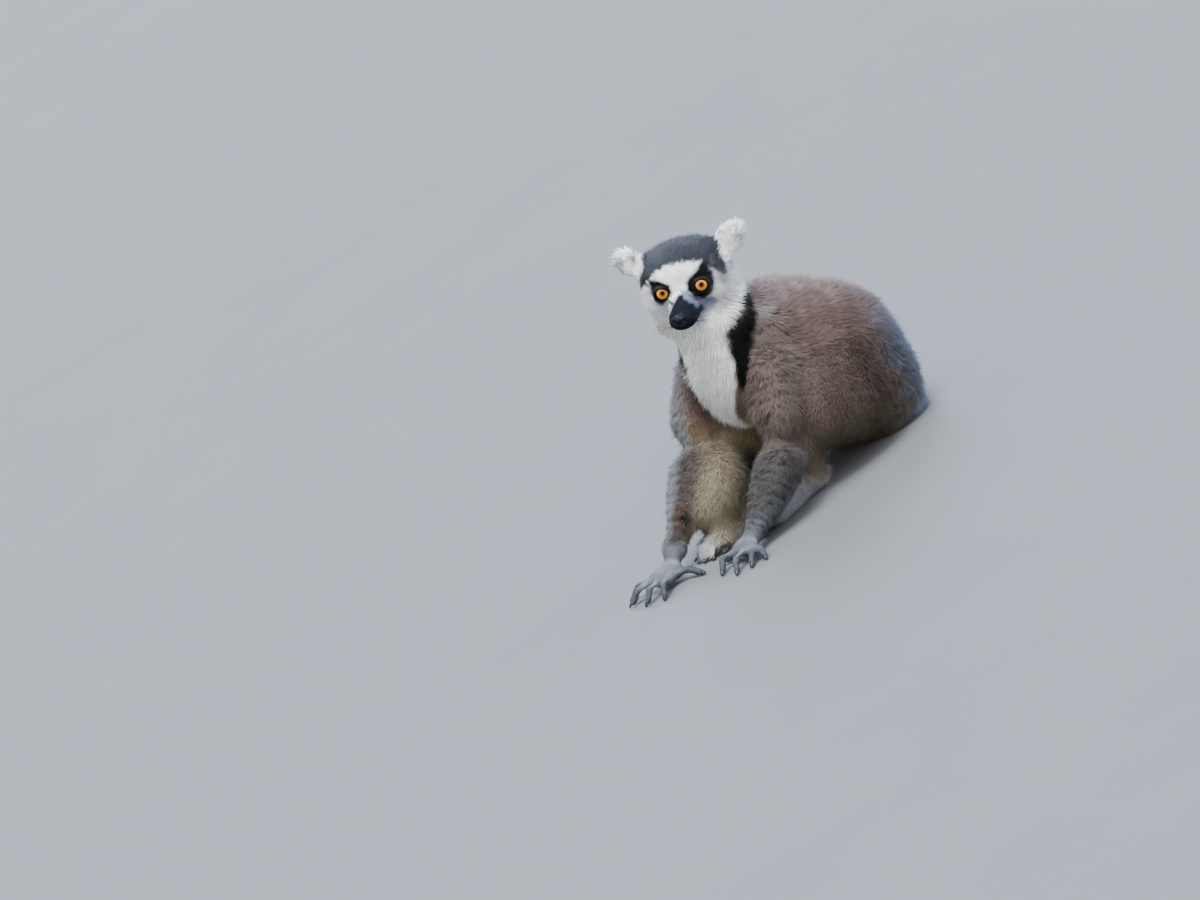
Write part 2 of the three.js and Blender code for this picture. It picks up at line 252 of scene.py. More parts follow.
# ---------------------------------------------------------------- noise fields
def wave_field(seed, wavelength, count=20):
    """Sum of sine waves in random directions, with wavelengths from 0.7 to 1.5 of the one given.

    The field's value runs from about -1 to 1, and its slope points up the value.
    """
    rng = np.random.default_rng(seed)
    k = unit(rng.normal(size=(count, 3))) * (2 * np.pi / (wavelength * rng.uniform(0.7, 1.5, (count, 1))))
    phase = rng.uniform(0, 2 * np.pi, count)

    def field(points, gradient=False):
        angle = points @ k.T + phase
        value = np.sin(angle).sum(1) / np.sqrt(count) * 0.9
        if not gradient:
            return value
        return value, (np.cos(angle) @ k) * (wavelength / (2 * np.pi)) / np.sqrt(count)

    return field


broad_noise = wave_field(11, 38)
patch_noise = wave_field(12, 14)
fine_noise = wave_field(13, 5)
clump_noise = wave_field(14, 9)
small_clump_noise = wave_field(15, 4.2)


# ---------------------------------------------------------------- markings
def inside(points, outline, soft):
    """1 inside a closed outline on a plane and 0 outside it, with an edge soft millimetres wide.

    It is the signed distance to the nearest side, its sign from the count of crossings.
    """
    outline = np.asarray(outline, float)
    nearest = np.full(len(points), np.inf)
    within = np.zeros(len(points), bool)
    for a, b in zip(outline, np.roll(outline, -1, axis=0)):
        ab = b - a
        t = np.clip((points - a) @ ab / (ab @ ab), 0, 1)
        nearest = np.minimum(nearest, np.linalg.norm(points - a - t[:, None] * ab, axis=1))
        crosses = (a[1] > points[:, 1]) != (b[1] > points[:, 1])
        x = a[0] + (points[:, 1] - a[1]) * ab[0] / (ab[1] if abs(ab[1]) > 1e-9 else 1e-9)
        within ^= crosses & (points[:, 0] < x)
    return step(np.where(within, nearest, -nearest), -soft / 2, soft / 2)


def mixed(base, colour, amount):
    """Colours moved towards another by an amount from 0 to 1 at each point."""
    return base + (colour - base) * np.clip(amount, 0, 1)[:, None]


# Outlines on the face, seen along the head's own y axis: (x, z).
CAP_EDGE = [
    (-46, 0), (-36, 6), (-32, 11), (-28, 14.5), (-24, 18), (-20, 20), (-15, 22.5), (-8, 24.2), (5, 24.2),
    (14, 23.2), (22, 20.5), (27, 16.5), (31, 12), (34, 7), (38, 0), (46, -4)
]
LEFT_PATCH = [
    (5.5, 3), (6.2, 8), (10, 12.5), (15, 15.5), (19, 18), (21.5, 21), (25.5, 20.5), (28.5, 16), (30, 10),
    (29.5, 3), (27, -3), (23, -7.5), (17, -9.5), (11.5, -6.5), (7.5, -1)
]
RIGHT_PATCH = [
    (-7, 3), (-8, 9), (-12.5, 14), (-19, 16.5), (-25.5, 17.5), (-26, 11), (-26, 4), (-23.5, -3),
    (-18.5, -6.5), (-14.8, -5), (-10, 0)
]
MUZZLE_TOP = [
    (-1.4, 1), (1.4, 0), (3.5, -3), (7, -5.8), (10.8, -9), (13, -13.5), (14.5, -17.5), (17.5, -20.5),
    (19.5, -23.5), (16, -28), (8, -31), (-8, -31), (-15, -27), (-15.5, -20.5), (-12.6, -14), (-9.6, -9),
    (-6.4, -4.6), (-3.4, -1)
]
TEMPLE = [(29, 21), (31, 14), (35, 9), (38, 1), (35, -5), (31.5, 2), (30.5, 11)]
LILAC = {
    1: [
        (0, 4), (6, 2.5), (8, -0.5), (12, -5.5), (18, -8.5), (25, -9.5), (26, -16), (20, -21.5), (12, -21),
        (0, -10)
    ],
    -1: [(-3, 2), (-8, -2.5), (-14, -8), (-17, -14), (-13, -16), (-6, -9)]
}
# (x, y, z, radius) down each side of the neck
COLLAR = [
    [
        (32, 194, 182, 4), (36, 181, 172, 5), (40, 168, 161, 9.5), (38.5, 157, 154, 13),
        (38, 151, 146, 11.5), (40, 143, 135, 8.5), (38.5, 135, 121, 5.2), (35, 129, 112, 2)
    ],
    [
        (-26, 190, 176, 4), (-30, 160, 162, 8), (-28, 140, 150, 7), (-20, 127, 140, 5),
        (-19, 123, 130, 4.5), (-17, 121, 119, 4), (-14, 122, 108, 2.5)
    ],
]
# z and y of the line where the white of the neck gives way to brown
NECK_EDGE = {
    1: [
        (112, 128), (121, 134), (135, 142), (146, 150), (154, 157), (161, 168), (172, 180), (180, 190),
        (190, 198)
    ],
    -1: [(108, 122), (121, 121), (130, 123), (140, 128), (150, 141), (162, 162), (176, 192), (190, 204)],
}
# x, z and half-width of the white chest, from the top down
BIB = [
    (-14, 172, 26), (-6, 160, 32), (0, 146, 33), (5, 132, 29), (7, 118, 23), (4, 104, 16), (-2, 90, 11),
    (-4, 78, 8)
]
GLANDS = ((-22, 56, 37), (42, 70, 24))
TAIL_RINGS = 13.0  # pairs of rings, the last of them lost in the black tip
# seen as (x, y, z, radius) in the head's own frame
LEFT_SPUR = [(22, -22, 18, 2.6), (26, -19, 21.5, 2.2)]
RIGHT_SPUR = [(-27, -20, 12, 2.4), (-30, -16, 16, 2.4)]
MOUTH = [
    (0, -60.5, -21.6, 1), (6, -57, -22.6, 1), (9.6, -49, -23.4, 1), (12, -40, -24, 1), (13.6, -30, -25, 1),
    (14.6, -23, -25.5, 1)
]
# of these, back is painted light on the body's top, rump is grey tinted blue by painted rim light, rim is
# painted rim light on the right arm, and under is olive darkened as painted shade
TONE = {k: linear(v) for k, v in {
    "white": "#f5f4ec", "cream": "#ddd6bf", "cheek": "#e9ebea", "throat": "#ebe7c8", "crown": "#32353b",
    "black": "#040405", "patch": "#060708", "muzzle": "#0a0f1a", "lilac": "#626b88", "collar": "#070707",
    "back": "#807370", "flank": "#64524b", "rump": "#7c8798", "nape": "#6a5e5b", "upper": "#6f635b",
    "tan": "#a5855e", "fore": "#514f4e", "wrist": "#606369", "stripe": "#54453d", "belly": "#a59a7c",
    "thigh": "#675952", "under": "#5f594a", "shank": "#867d6a", "hand": "#7e8288", "digit": "#3d4149",
    "foot": "#b4b7b9", "gland": "#0a0807", "rim": "#8d8f92", "ear": "#f5f6f6", "ring_dark": "#0b0b0c",
    "ring_white": "#dcdbd6",
}.items()}
BASE_TONE = {
    "head": "cheek", "muzzle": "white", "ruff": "white", "ear": "ear", "neck": "white", "trunk": "flank",
    "thigh": "thigh", "shank": "shank", "foot": "foot", "upper": "upper", "fore": "fore", "hand": "hand",
    "digit": "digit", "tail": "ring_white"
}


def neck_and_trunk(colour, p, share, normal):
    """Ashy nape behind the collar, warm flanks, back paler as painted light on top, grey rump tinted blue as
    painted rim light, olive undersides of the thighs darkened as painted shade, pale belly and white chest.
    """
    x, y, z = p.T
    trunk, neck, thigh = share[:, R["trunk"]], share[:, R["neck"]], share[:, R["thigh"]]
    edge_left, edge_right = (np.interp(z, *np.array(NECK_EDGE[hand], float).T) for hand in (1, -1))
    edge = np.where(x > 4, edge_left, edge_right)
    behind = step(y - edge, 0, 7) * np.clip(neck + share[:, R["ruff"]] + trunk, 0, 1)
    colour = mixed(colour, TONE["nape"], behind * step(z, 116, 130))
    colour = mixed(colour, TONE["upper"], neck * step(z, 150, 128) * step(np.abs(x), 24, 34))
    colour = mixed(colour, TONE["flank"], trunk * step(y, 168, 186))
    # painted light: the back paler on faces that turn up, high on the body
    lit_top = step(normal[:, 2] + 0.12 * patch_noise(p), 0.3, 0.95) * step(z, 100, 145)
    colour = mixed(colour, TONE["back"], lit_top * (trunk + neck * behind))
    # grey rump, with its grey tinted blue as painted rim light
    rearmost = step(y + 0.10 * (70 - z) - 0.10 * np.abs(x) + 8 * patch_noise(p), 234, 288)
    grey = rearmost * step(z + 14 * patch_noise(p), 138, 66) * (trunk + thigh)
    colour = mixed(colour, TONE["rump"], grey * 0.92)
    # undersides of the thighs: an olive tone, darker as painted shade, on faces that turn down and low down
    shaded_underside = np.maximum(step(-normal[:, 2], 0.05, 0.6), step(z, 34, 10))
    colour = mixed(colour, TONE["under"], shaded_underside * thigh * 0.9)
    belly = step(z, 96, 74) * step(np.abs(x), 46, 30) * step(y, 215, 190) * trunk
    colour = mixed(colour, TONE["belly"], belly)
    colour = mixed(colour, TONE["belly"], step(-np.abs(x), -42, -30) * thigh)
    # chest
    centre, top, half_width = np.array(BIB[::-1], float).T
    across = np.interp(z, top, half_width) - np.abs(x - np.interp(z, top, centre))
    bib = step(across, -2.5, 2.5) * step(y, 168, 150) * step(z, 66, 82)
    return mixed(colour, TONE["white"], bib * (trunk + neck + 0.4 * share[:, R["upper"]]))


def arms(colour, p, share, normal):
    """Arms brown above, grey below and cream inside, the right with a stripe, a pale rim of painted rim light
    and a tan patch.
    """
    x, y, z = p.T
    side = np.where(x > 3, 1.0, -1.0)
    arm = share[:, R["upper"]] + share[:, R["fore"]]
    inward = -normal[:, 0] * side
    colour = mixed(colour, TONE["wrist"], share[:, R["fore"]] * step(z, 36, 20))
    behind = 0.72 * inward + 0.69 * normal[:, 1]
    inside_of_arm = np.where(side < 0, step(behind, 0.62, 0.9), step(behind, 0.3, 0.75))
    colour = mixed(colour, TONE["cream"], inside_of_arm * arm * step(z, 128, 105) * step(z, 18, 34))
    stripe = np.exp(-(((behind - 0.38) / 0.34) ** 2)) * step(inward, 0.0, 0.4) * arm * step(z, 110, 80)
    colour = mixed(colour, TONE["stripe"], stripe * (side < 0) * 0.7)
    # painted rim light: pale grey along the right arm's outer front edge, where it turns from view
    rim = step(-behind, -0.05, 0.4) * arm * (side < 0) * step(z, 24, 40)
    colour = mixed(colour, TONE["rim"], rim * 0.75)
    tan = np.exp(-(((z - 92) / 11) ** 2) - ((y - 118) / 12) ** 2 - ((x + 24) / 8) ** 2)
    return mixed(colour, TONE["tan"], 1.3 * tan * arm)


def collar_and_glands(colour, p, share):
    """Black collar down each side of the neck, and the dark gland on the inner side of each wrist."""
    off_head = np.clip(1 - share[:, R["head"]] - share[:, R["muzzle"]], 0, 1)
    for line in COLLAR:
        d, *_ = along(p, line)
        colour = mixed(colour, TONE["collar"], step(d + 0.16 * patch_noise(p), 1.36, 0.66) * off_head)
    for gland in GLANDS:
        d = np.linalg.norm((p - gland) * (1, 0.8, 0.62), axis=1)
        colour = mixed(colour, TONE["stripe"], step(d, 12, 6) * share[:, R["fore"]])
        colour = mixed(colour, TONE["gland"], step(d, 6.5, 3.5) * share[:, R["fore"]])
    return colour


def legs_and_throat(colour, p, share, normal):
    """Painted shade on the shanks behind and where the right one meets the left, a creamy throat, and a left
    foot greyed as painted shade.
    """
    x = p[:, 0]
    shank = share[:, R["shank"]]
    # painted shade: the shanks darker where they face back and where the right one meets the left
    colour = mixed(colour, TONE["under"], shank * step(normal[:, 1] + 0.3 * patch_noise(p), 0.2, 0.8) * 0.6)
    colour = mixed(colour, TONE["under"], shank * step(x + 3 * patch_noise(p), -7, 1) * step(x, 30, 20) * 0.5)
    colour = mixed(colour, TONE["throat"], share[:, R["ruff"]] * step(-normal[:, 2], 0.1, 0.7))
    # painted shade: the left foot darkened towards grey where it lies in shadow
    return mixed(colour, TONE["fore"], share[:, R["foot"]] * step(x, 6, 16) * 0.55)


def tail_rings(colour, p, share):
    """Dark and white by turns along the tail, with a black tip and a grey root in the rump's tone, tinted
    blue as painted rim light.
    """
    _, run, _, _ = along(p, TAIL_LINE)
    total = np.linalg.norm(np.diff(TAIL_LINE[:, :3], axis=0), axis=1).sum()
    share_run = run / total
    ring = np.sin(2 * np.pi * TAIL_RINGS * (share_run - 0.012) + 0.25 * fine_noise(p))
    dark = np.maximum(step(ring, -0.18, 0.18), step(share_run, 0.93, 0.945))
    tail = share[:, R["tail"]]
    colour = mixed(colour, TONE["ring_dark"], dark * tail * step(share_run, 0.0, 0.02))
    return mixed(colour, TONE["rump"], tail * step(share_run, 0.05, 0.01))


def cap(colour, h, p, share, head_all):
    """Slate cap from the forehead over the crown to the nape, darker towards its front edge and behind."""
    hx, hy, hz = h.T
    edge = np.interp(hx, *np.array(CAP_EDGE, float).T)
    drop = np.interp(hy, [-12, 0, 12, 24, 44], [0, 1, -8, -44, -70])
    wide = np.interp(hy, [-16, 0, 12, 26, 44], [38, 37, 31, 30, 28])
    rise = hz - edge - drop
    within = step(rise + 0.8 * fine_noise(p), -1.3, 1.3) * step(wide - np.abs(hx), -1.5, 1.5)
    ear_root = share[:, R["ear"]] * np.where(hx > 0, step(hx, 36, 32), step(-hx, 32, 29))
    lighter = step(rise, 0, 13) * step(hy, 14, -8) + step(hy, -8, 14)
    where = np.clip(head_all + ear_root, 0, 1)
    colour = mixed(colour, TONE["crown"] * 0.75, within * where)
    return mixed(colour, TONE["crown"], within * lighter * where)


def face_markings(colour, p, share):
    """Cap, painted shadow under the eyes, lilac by the muzzle, grey temple, black muzzle, eye patches with
    spurs, and the mouth's line.
    """
    h = to_head(p)
    hx, hy, hz = h.T
    face = np.column_stack([hx, hz])
    on_head = share[:, R["head"]] + share[:, R["muzzle"]]
    front = step(hy, -6, -12)
    colour = cap(colour, h, p, share, np.clip(on_head + share[:, R["ruff"]], 0, 1))
    # painted shadow: soft lilac-grey under each eye
    left_eye_painted_shadow = np.exp(-(((hx - 24) / 7) ** 2) - ((hz + 15) / 6) ** 2) * 0.35
    right_eye_painted_shadow = np.exp(-(((hx + 20) / 6) ** 2) - ((hz + 12) / 5) ** 2) * 0.25
    colour = mixed(colour, TONE["lilac"], (left_eye_painted_shadow + right_eye_painted_shadow) * front * on_head)
    for hand, strength in ((1, 0.95), (-1, 0.5)):
        colour = mixed(colour, TONE["lilac"], inside(face, LILAC[hand], 3.5) * front * on_head * strength)
    temple = inside(face, TEMPLE, 5.0) * step(hy, 2, -6) * on_head
    colour = mixed(colour, TONE["crown"] * 2.5, temple * 0.6)
    muzzle = inside(face + 0.25 * fine_noise(p)[:, None], MUZZLE_TOP, 1.8) * step(hy, -16, -22) * on_head
    colour = mixed(colour, TONE["muzzle"], muzzle)
    for outline in (LEFT_PATCH, RIGHT_PATCH):
        patch = inside(face + 0.5 * fine_noise(p)[:, None], outline, 4.4) * front * on_head
        colour = mixed(colour, TONE["patch"], patch)
    near_spur = np.abs(hx - 25 + 0.2 * (hz - 16)) < 9
    d, *_ = along(h, LEFT_SPUR)
    colour = mixed(colour, TONE["patch"], step(d, 1.3, 0.7) * on_head * near_spur * 0.9)
    d, *_ = along(h, RIGHT_SPUR)
    colour = mixed(colour, TONE["patch"], step(d, 1.3, 0.7) * on_head * 0.85)
    d, *_ = along(h, MOUTH)
    e, *_ = along(h * (-1, 1, 1), MOUTH)
    return mixed(colour, TONE["black"], step(np.minimum(d, e), 1.4, 0.7) * on_head)


def markings(p, share, normal):
    """The coat's colour at points of the animal: each region's own, with the markings painted over it."""
    colour = share @ np.array([TONE[BASE_TONE[name]] for name in REGIONS])
    colour = neck_and_trunk(colour, p, share, normal)
    colour = arms(colour, p, share, normal)
    colour = collar_and_glands(colour, p, share)
    colour = legs_and_throat(colour, p, share, normal)
    colour = tail_rings(colour, p, share)
    colour = face_markings(colour, p, share)
    # a little light and dark that comes and goes, as in any grown coat
    brown = sum(share[:, R[name]] for name in ("trunk", "neck", "upper", "thigh")) + share[:, R["fore"]] * 0.6
    colour = colour * (1 + 0.07 * broad_noise(p) * brown + 0.035 * patch_noise(p))[:, None]
    return np.clip(colour, 0.001, 1)


# ---------------------------------------------------------------- mesh tools
def mesh_object(name, points, faces, material, replaces=(), colours=None, uv=None, normals=None):
    """A mesh from arrays: points in millimetres in the animal's frame, and faces of equally many corners."""
    faces = np.asarray(faces, np.int32)
    me = bpy.data.meshes.new(name)
    me.vertices.add(len(points))
    me.vertices.foreach_set("co", ((points + SHIFT) * MM).astype(np.float32).ravel())
    me.loops.add(faces.size)
    me.loops.foreach_set("vertex_index", faces.ravel())
    me.polygons.add(len(faces))
    me.polygons.foreach_set("loop_start", np.arange(0, faces.size, faces.shape[1], dtype=np.int32))
    me.update(calc_edges=True)
    me.shade_smooth()
    if uv is not None:
        me.uv_layers.new(name="OFBake").data.foreach_set(
            "uv", np.asarray(uv, np.float32)[faces.ravel()].ravel()
        )
    if colours is not None:
        layer = me.color_attributes.new("coat_colour", "FLOAT_COLOR", "POINT")
        layer.data.foreach_set(
            "color", np.hstack([colours, np.ones((len(colours), 1))]).astype(np.float32).ravel()
        )
    if normals is not None:
        me.normals_split_custom_set_from_vertices(normals.astype(np.float32))
    ob = bpy.data.objects.new(name, me)
    bpy.context.scene.collection.objects.link(ob)
    me.materials.append(material)
    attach(ob, "root")
    if replaces:
        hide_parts(*replaces)
    return ob


def vertex_normals(points, faces):
    """Mean of the faces' normals round each vertex, weighted by area."""
    a, b, c = (points[faces[:, i]] for i in range(3))
    n = np.cross(b - a, c - a)
    total = np.zeros_like(points)
    for i in range(3):
        for k in range(3):
            total[:, k] += np.bincount(faces[:, i], n[:, k], len(points))
    return unit(total)


def relaxed(values, edges, rounds, pull):
    """Moves each vertex's values towards the mean of its neighbours', rounds times."""
    n = len(values)
    a, b = edges.T
    count = np.maximum(np.bincount(edges.ravel(), minlength=n), 1)
    pull = np.broadcast_to(pull, (n,))[:, None]
    for _ in range(rounds):
        sums = [
            np.bincount(a, values[b, k], n) + np.bincount(b, values[a, k], n)
            for k in range(values.shape[1])
        ]
        mean = np.stack(sums, 1) / count[:, None]
        values = values + pull * (mean - values)
    return values


# ---------------------------------------------------------------- materials
def add(tree, kind, links=(), **settings):
    """Adds a node with its settings, by property or input name, and links (input, socket) pairs into it."""
    node = tree.nodes.new(kind)
    for key, value in settings.items():
        if hasattr(node, key) and key not in node.inputs:
            setattr(node, key, value)
        else:
            node.inputs[key.replace("_", " ") if key not in node.inputs else key].default_value = value
    for key, socket in links:
        tree.links.new(socket, node.inputs[key])
    return node


def new_material(name):
    """An empty node material and its tree."""
    material = bpy.data.materials.new(name)
    material.use_nodes = True
    material.node_tree.nodes.clear()
    return material, material.node_tree


def finish_material(tree, shader):
    """Joins the shader to the material's output."""
    out = add(tree, "ShaderNodeOutputMaterial")
    tree.links.new(shader.outputs[0], out.inputs["Surface"])


def rgba(hex_colour):
    """An sRGB hex colour as linear red, green, blue and alpha."""
    return (*linear(hex_colour), 1.0)


def mottled(tree, colour, pattern, darkest, palest):
    """Multiplies a colour by a pattern's middle range, from darkest to palest."""
    shade = add(
        tree, "ShaderNodeMapRange", [("Value", pattern)], From_Min=0.3, From_Max=0.7, To_Min=darkest,
        To_Max=palest
    )
    links = [(0, colour), ("Scale", shade.outputs["Result"])]
    return add(tree, "ShaderNodeVectorMath", links, operation="SCALE").outputs["Vector"]


def coat_material(name, roughness, sheen):
    """Fur: keratin hairs over soft wool. Dull, with a soft glow at the edges, each hair its own shade."""
    material, tree = new_material(name)
    colour = add(tree, "ShaderNodeVertexColor", layer_name="coat_colour")
    place = add(tree, "ShaderNodeTexCoord").outputs["Object"]
    # single hairs are about 0.05 mm, too fine to show, so the mottling is drawn at 0.8 mm
    hairs = add(tree, "ShaderNodeTexNoise", [("Vector", place)], Scale=1250.0, Detail=2.0, Roughness=0.6)
    tint = mottled(tree, colour.outputs["Color"], hairs.outputs["Fac"], 0.84, 1.14)
    shader = add(
        tree, "ShaderNodeBsdfPrincipled", [("Base Color", tint)], Roughness=roughness, Sheen_Weight=sheen,
        Sheen_Roughness=0.45, Specular_IOR_Level=0.12,
    )
    finish_material(tree, shader)
    return material


def skin_material():
    """Skin under short flat fur: the coat's own colours, dull, with the hairs as fine ridges in relief."""
    material, tree = new_material("skin_under_flat_fur")
    colour = add(tree, "ShaderNodeVertexColor", layer_name="coat_colour")
    place = add(tree, "ShaderNodeTexCoord").outputs["Object"]
    # the relief of flat hair, drawn at 0.7 mm, as single hairs are finer than can show
    hairs = add(tree, "ShaderNodeTexNoise", [("Vector", place)], Scale=1400.0, Detail=3.0, Roughness=0.65)
    tint = mottled(tree, colour.outputs["Color"], hairs.outputs["Fac"], 0.78, 1.1)
    bump = add(tree, "ShaderNodeBump", [("Height", hairs.outputs["Fac"])], Strength=0.5, Distance=0.0004)
    links = [("Base Color", tint), ("Normal", bump.outputs["Normal"])]
    shader = add(tree, "ShaderNodeBsdfPrincipled", links, Roughness=0.62, Specular_IOR_Level=0.3)
    finish_material(tree, shader)
    return material


# the iris from the pupil outwards: the angle from the line of sight as a share of 180 degrees, and the colour
IRIS = [
    (0.0, "#000000"), (0.046, "#010101"), (0.056, "#2c1003"), (0.078, "#854506"), (0.115, "#b47412"),
    (0.165, "#c99326"), (0.194, "#845412"), (0.208, "#0a0503"), (0.28, "#010101"),
]


def eye_material():
    """Living eye: an amber iris of fine radial fibres under a wet clear cornea.

    UV: v is the angle from the line of sight as a share of 180 degrees, and u the turn about it.
    """
    material, tree = new_material("wet_amber_eye")
    uv = add(tree, "ShaderNodeUVMap", uv_map="OFBake").outputs["UV"]
    split = add(tree, "ShaderNodeSeparateXYZ", [("Vector", uv)])
    ramp = add(tree, "ShaderNodeValToRGB", [("Fac", split.outputs["Y"])])
    elements = ramp.color_ramp.elements
    while len(elements) < len(IRIS):
        elements.new(0.5)
    for element, (at, tone) in zip(elements, IRIS):
        element.position, element.color = at, rgba(tone)
    # fibres about 0.25 mm apart round the iris
    stretch = add(tree, "ShaderNodeMapping", [("Vector", uv)], Scale=(46.0, 9.0, 1.0))
    round_iris = [("Vector", stretch.outputs["Vector"])]
    fibres = add(tree, "ShaderNodeTexNoise", round_iris, Scale=1.6, Detail=3.0, Roughness=0.6)
    tint = mottled(tree, ramp.outputs["Color"], fibres.outputs["Fac"], 0.72, 1.2)
    shader = add(
        tree, "ShaderNodeBsdfPrincipled", [("Base Color", tint)], Roughness=0.45, Coat_Weight=0.1,
        Coat_Roughness=0.03, Specular_IOR_Level=0.02,
    )
    finish_material(tree, shader)
    return material


def leather_material(name, tone, roughness, grain_mm, depth_mm, gloss=0.3):
    """Bare skin or horn, as on the nose, lids and nails: dark, a little moist, with a fine pebbled grain."""
    material, tree = new_material(name)
    place = add(tree, "ShaderNodeTexCoord").outputs["Object"]
    grain = add(tree, "ShaderNodeTexVoronoi", [("Vector", place)], Scale=1000.0 / grain_mm)
    mottling = add(tree, "ShaderNodeTexNoise", [("Vector", place)], Scale=420.0, Detail=2.0)
    mix = add(tree, "ShaderNodeMix", [("Factor", mottling.outputs["Fac"])], data_type="RGBA")
    mix.inputs[6].default_value = rgba(tone)
    mix.inputs[7].default_value = (*(linear(tone) * 1.9), 1.0)
    bump = add(
        tree, "ShaderNodeBump", [("Height", grain.outputs["Distance"])], Strength=0.6,
        Distance=depth_mm * MM
    )
    links = [("Base Color", mix.outputs[2]), ("Normal", bump.outputs["Normal"])]
    shader = add(tree, "ShaderNodeBsdfPrincipled", links, Roughness=roughness, Specular_IOR_Level=gloss)
    finish_material(tree, shader)
    return material


def floor_material():
    """Plain matt studio floor, pale grey paint with the faintest mottling."""
    material, tree = new_material("matt_pale_floor")
    place = add(tree, "ShaderNodeTexCoord")
    noise = add(tree, "ShaderNodeTexNoise", [("Vector", place.outputs["Object"])], Scale=6.0, Detail=3.0)
    mix = add(tree, "ShaderNodeMix", [("Factor", noise.outputs["Fac"])], data_type="RGBA")
    mix.inputs[6].default_value = rgba("#646667")
    mix.inputs[7].default_value = rgba("#696b6c")
    shader = add(tree, "ShaderNodeBsdfPrincipled", [("Base Color", mix.outputs[2])], Roughness=0.9)
    finish_material(tree, shader)
    return material


BODY_COAT = coat_material("woolly_body_fur", 0.8, 0.05)
FACE_COAT = coat_material("short_face_fur", 0.75, 0.02)
WHITE_COAT = coat_material("fine_white_fur", 0.8, 0.06)
SKIN = skin_material()
EYE = eye_material()
NOSE_LEATHER = leather_material("moist_nose_leather", "#020409", 0.5, 0.6, 0.1, gloss=0.16)
LID_SKIN = leather_material("black_lid_skin", "#020202", 0.5, 0.6, 0.05, gloss=0.1)
NAIL = leather_material("dark_nail_keratin", "#1d2023", 0.3, 1.4, 0.03)
WHISKER = leather_material("whisker_keratin", "#1a1717", 0.4, 1.0, 0.02)

# ---------------------------------------------------------------- camera and light
# the camera's own axes: back from the animal to the lens, to its right, and up, rolled by the slope
BACK = unit(np.array([0.804, -0.543, 0.242]))
RIGHT = np.array([0.584, 0.650, -0.485])
RIGHT = unit(RIGHT - BACK * (RIGHT @ BACK))
UP = np.cross(BACK, RIGHT)
PICTURE_PX = (1200, 900)
EYES_MIDDLE_PX = (681.6, 289.3)
PIXELS_PER_MM = 1.2
LENS, SENSOR = 200.0, 36.0
DISTANCE = PICTURE_PX[0] * LENS / SENSOR / PIXELS_PER_MM
across, below = (eyes_px - size / 2 for eyes_px, size in zip(EYES_MIDDLE_PX, PICTURE_PX))
aim = eyes_middle - RIGHT * across / PIXELS_PER_MM + UP * below / PIXELS_PER_MM
camera_data = bpy.data.cameras.new("camera")
camera_data.lens, camera_data.sensor_width = LENS, SENSOR
camera_data.clip_start, camera_data.clip_end = 0.1, 200.0
camera = bpy.data.objects.new("camera", camera_data)
bpy.context.scene.collection.objects.link(camera)
place = np.eye(4)
place[:3, 0], place[:3, 1], place[:3, 2], place[:3, 3] = RIGHT, UP, BACK, (aim + BACK * DISTANCE) * MM
camera.matrix_world = Matrix(place.tolist())
bpy.context.scene.camera = camera


def sun(name, towards, strength, colour, angle):
    """A soft distant light that shines from the direction given."""
    data = bpy.data.lights.new(name, "SUN")
    data.energy, data.angle, data.color = strength, np.radians(angle), tuple(linear(colour))
    ob = bpy.data.objects.new(name, data)
    bpy.context.scene.collection.objects.link(ob)
    z = unit(np.asarray(towards, float))
    x = unit(np.cross((0.1, 0.2, 1.0), z))
    m = np.eye(4)
    m[:3, 0], m[:3, 1], m[:3, 2] = x, np.cross(z, x), z
    ob.matrix_world = Matrix(m.tolist())


sun("key", -0.45 * RIGHT + 0.85 * UP + 0.55 * BACK, 6.0, "#eef2ff", 40)
sun("rim", -0.35 * RIGHT + 0.75 * UP - 0.75 * BACK, 5.0, "#d3e2ff", 30)
sun("fill", -0.10 * RIGHT + 0.35 * UP + 0.95 * BACK, 2.2, "#fff8f0", 70)
sun("glint", -0.45 * RIGHT + 0.85 * UP + 0.70 * BACK, 0.9, "#ffffff", 5)
sun("side", 0.90 * RIGHT + 0.80 * UP + 0.15 * BACK, 1.7, "#b9d2ff", 60)
world = bpy.data.worlds.new("studio")
bpy.context.scene.world = world
world.use_nodes = True
world.node_tree.nodes["Background"].inputs["Color"].default_value = rgba("#dfe6ee")
world.node_tree.nodes["Background"].inputs["Strength"].default_value = 1.15

# ---------------------------------------------------------------- floor
floor_mesh = bpy.data.meshes.new("floor")
floor_mesh.from_pydata([(-60, -60, 0), (60, -60, 0), (60, 60, 0), (-60, 60, 0)], [], [(0, 1, 2, 3)])
floor = bpy.data.objects.new("floor", floor_mesh)
bpy.context.scene.collection.objects.link(floor)
floor_mesh.materials.append(floor_material())


# ---------------------------------------------------------------- skin
FLESH = [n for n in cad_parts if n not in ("eye_left", "eye_right", "nose")]
eye_at = {hand: from_head(socket) for hand, socket in EYE_SOCKETS.items()}
# lines of sight and the way that the lids open, in the head's own frame
look = to_head(HEAD_POINT + BACK)
SIGHT = {1: unit(look + np.array([0.02, 0, 0.0])), -1: unit(look)}
# each side's own way, and the share by which the lids turn from it to the line of sight
LID_WAYS = {1: ((0.26, -0.96, 0.06), 0.5), -1: ((-0.02, -1.0, 0.05), 0.35)}
LIDS = {
    hand: unit((1 - share) * unit(np.array(way)) + share * SIGHT[hand])
    for hand, (way, share) in LID_WAYS.items()
}


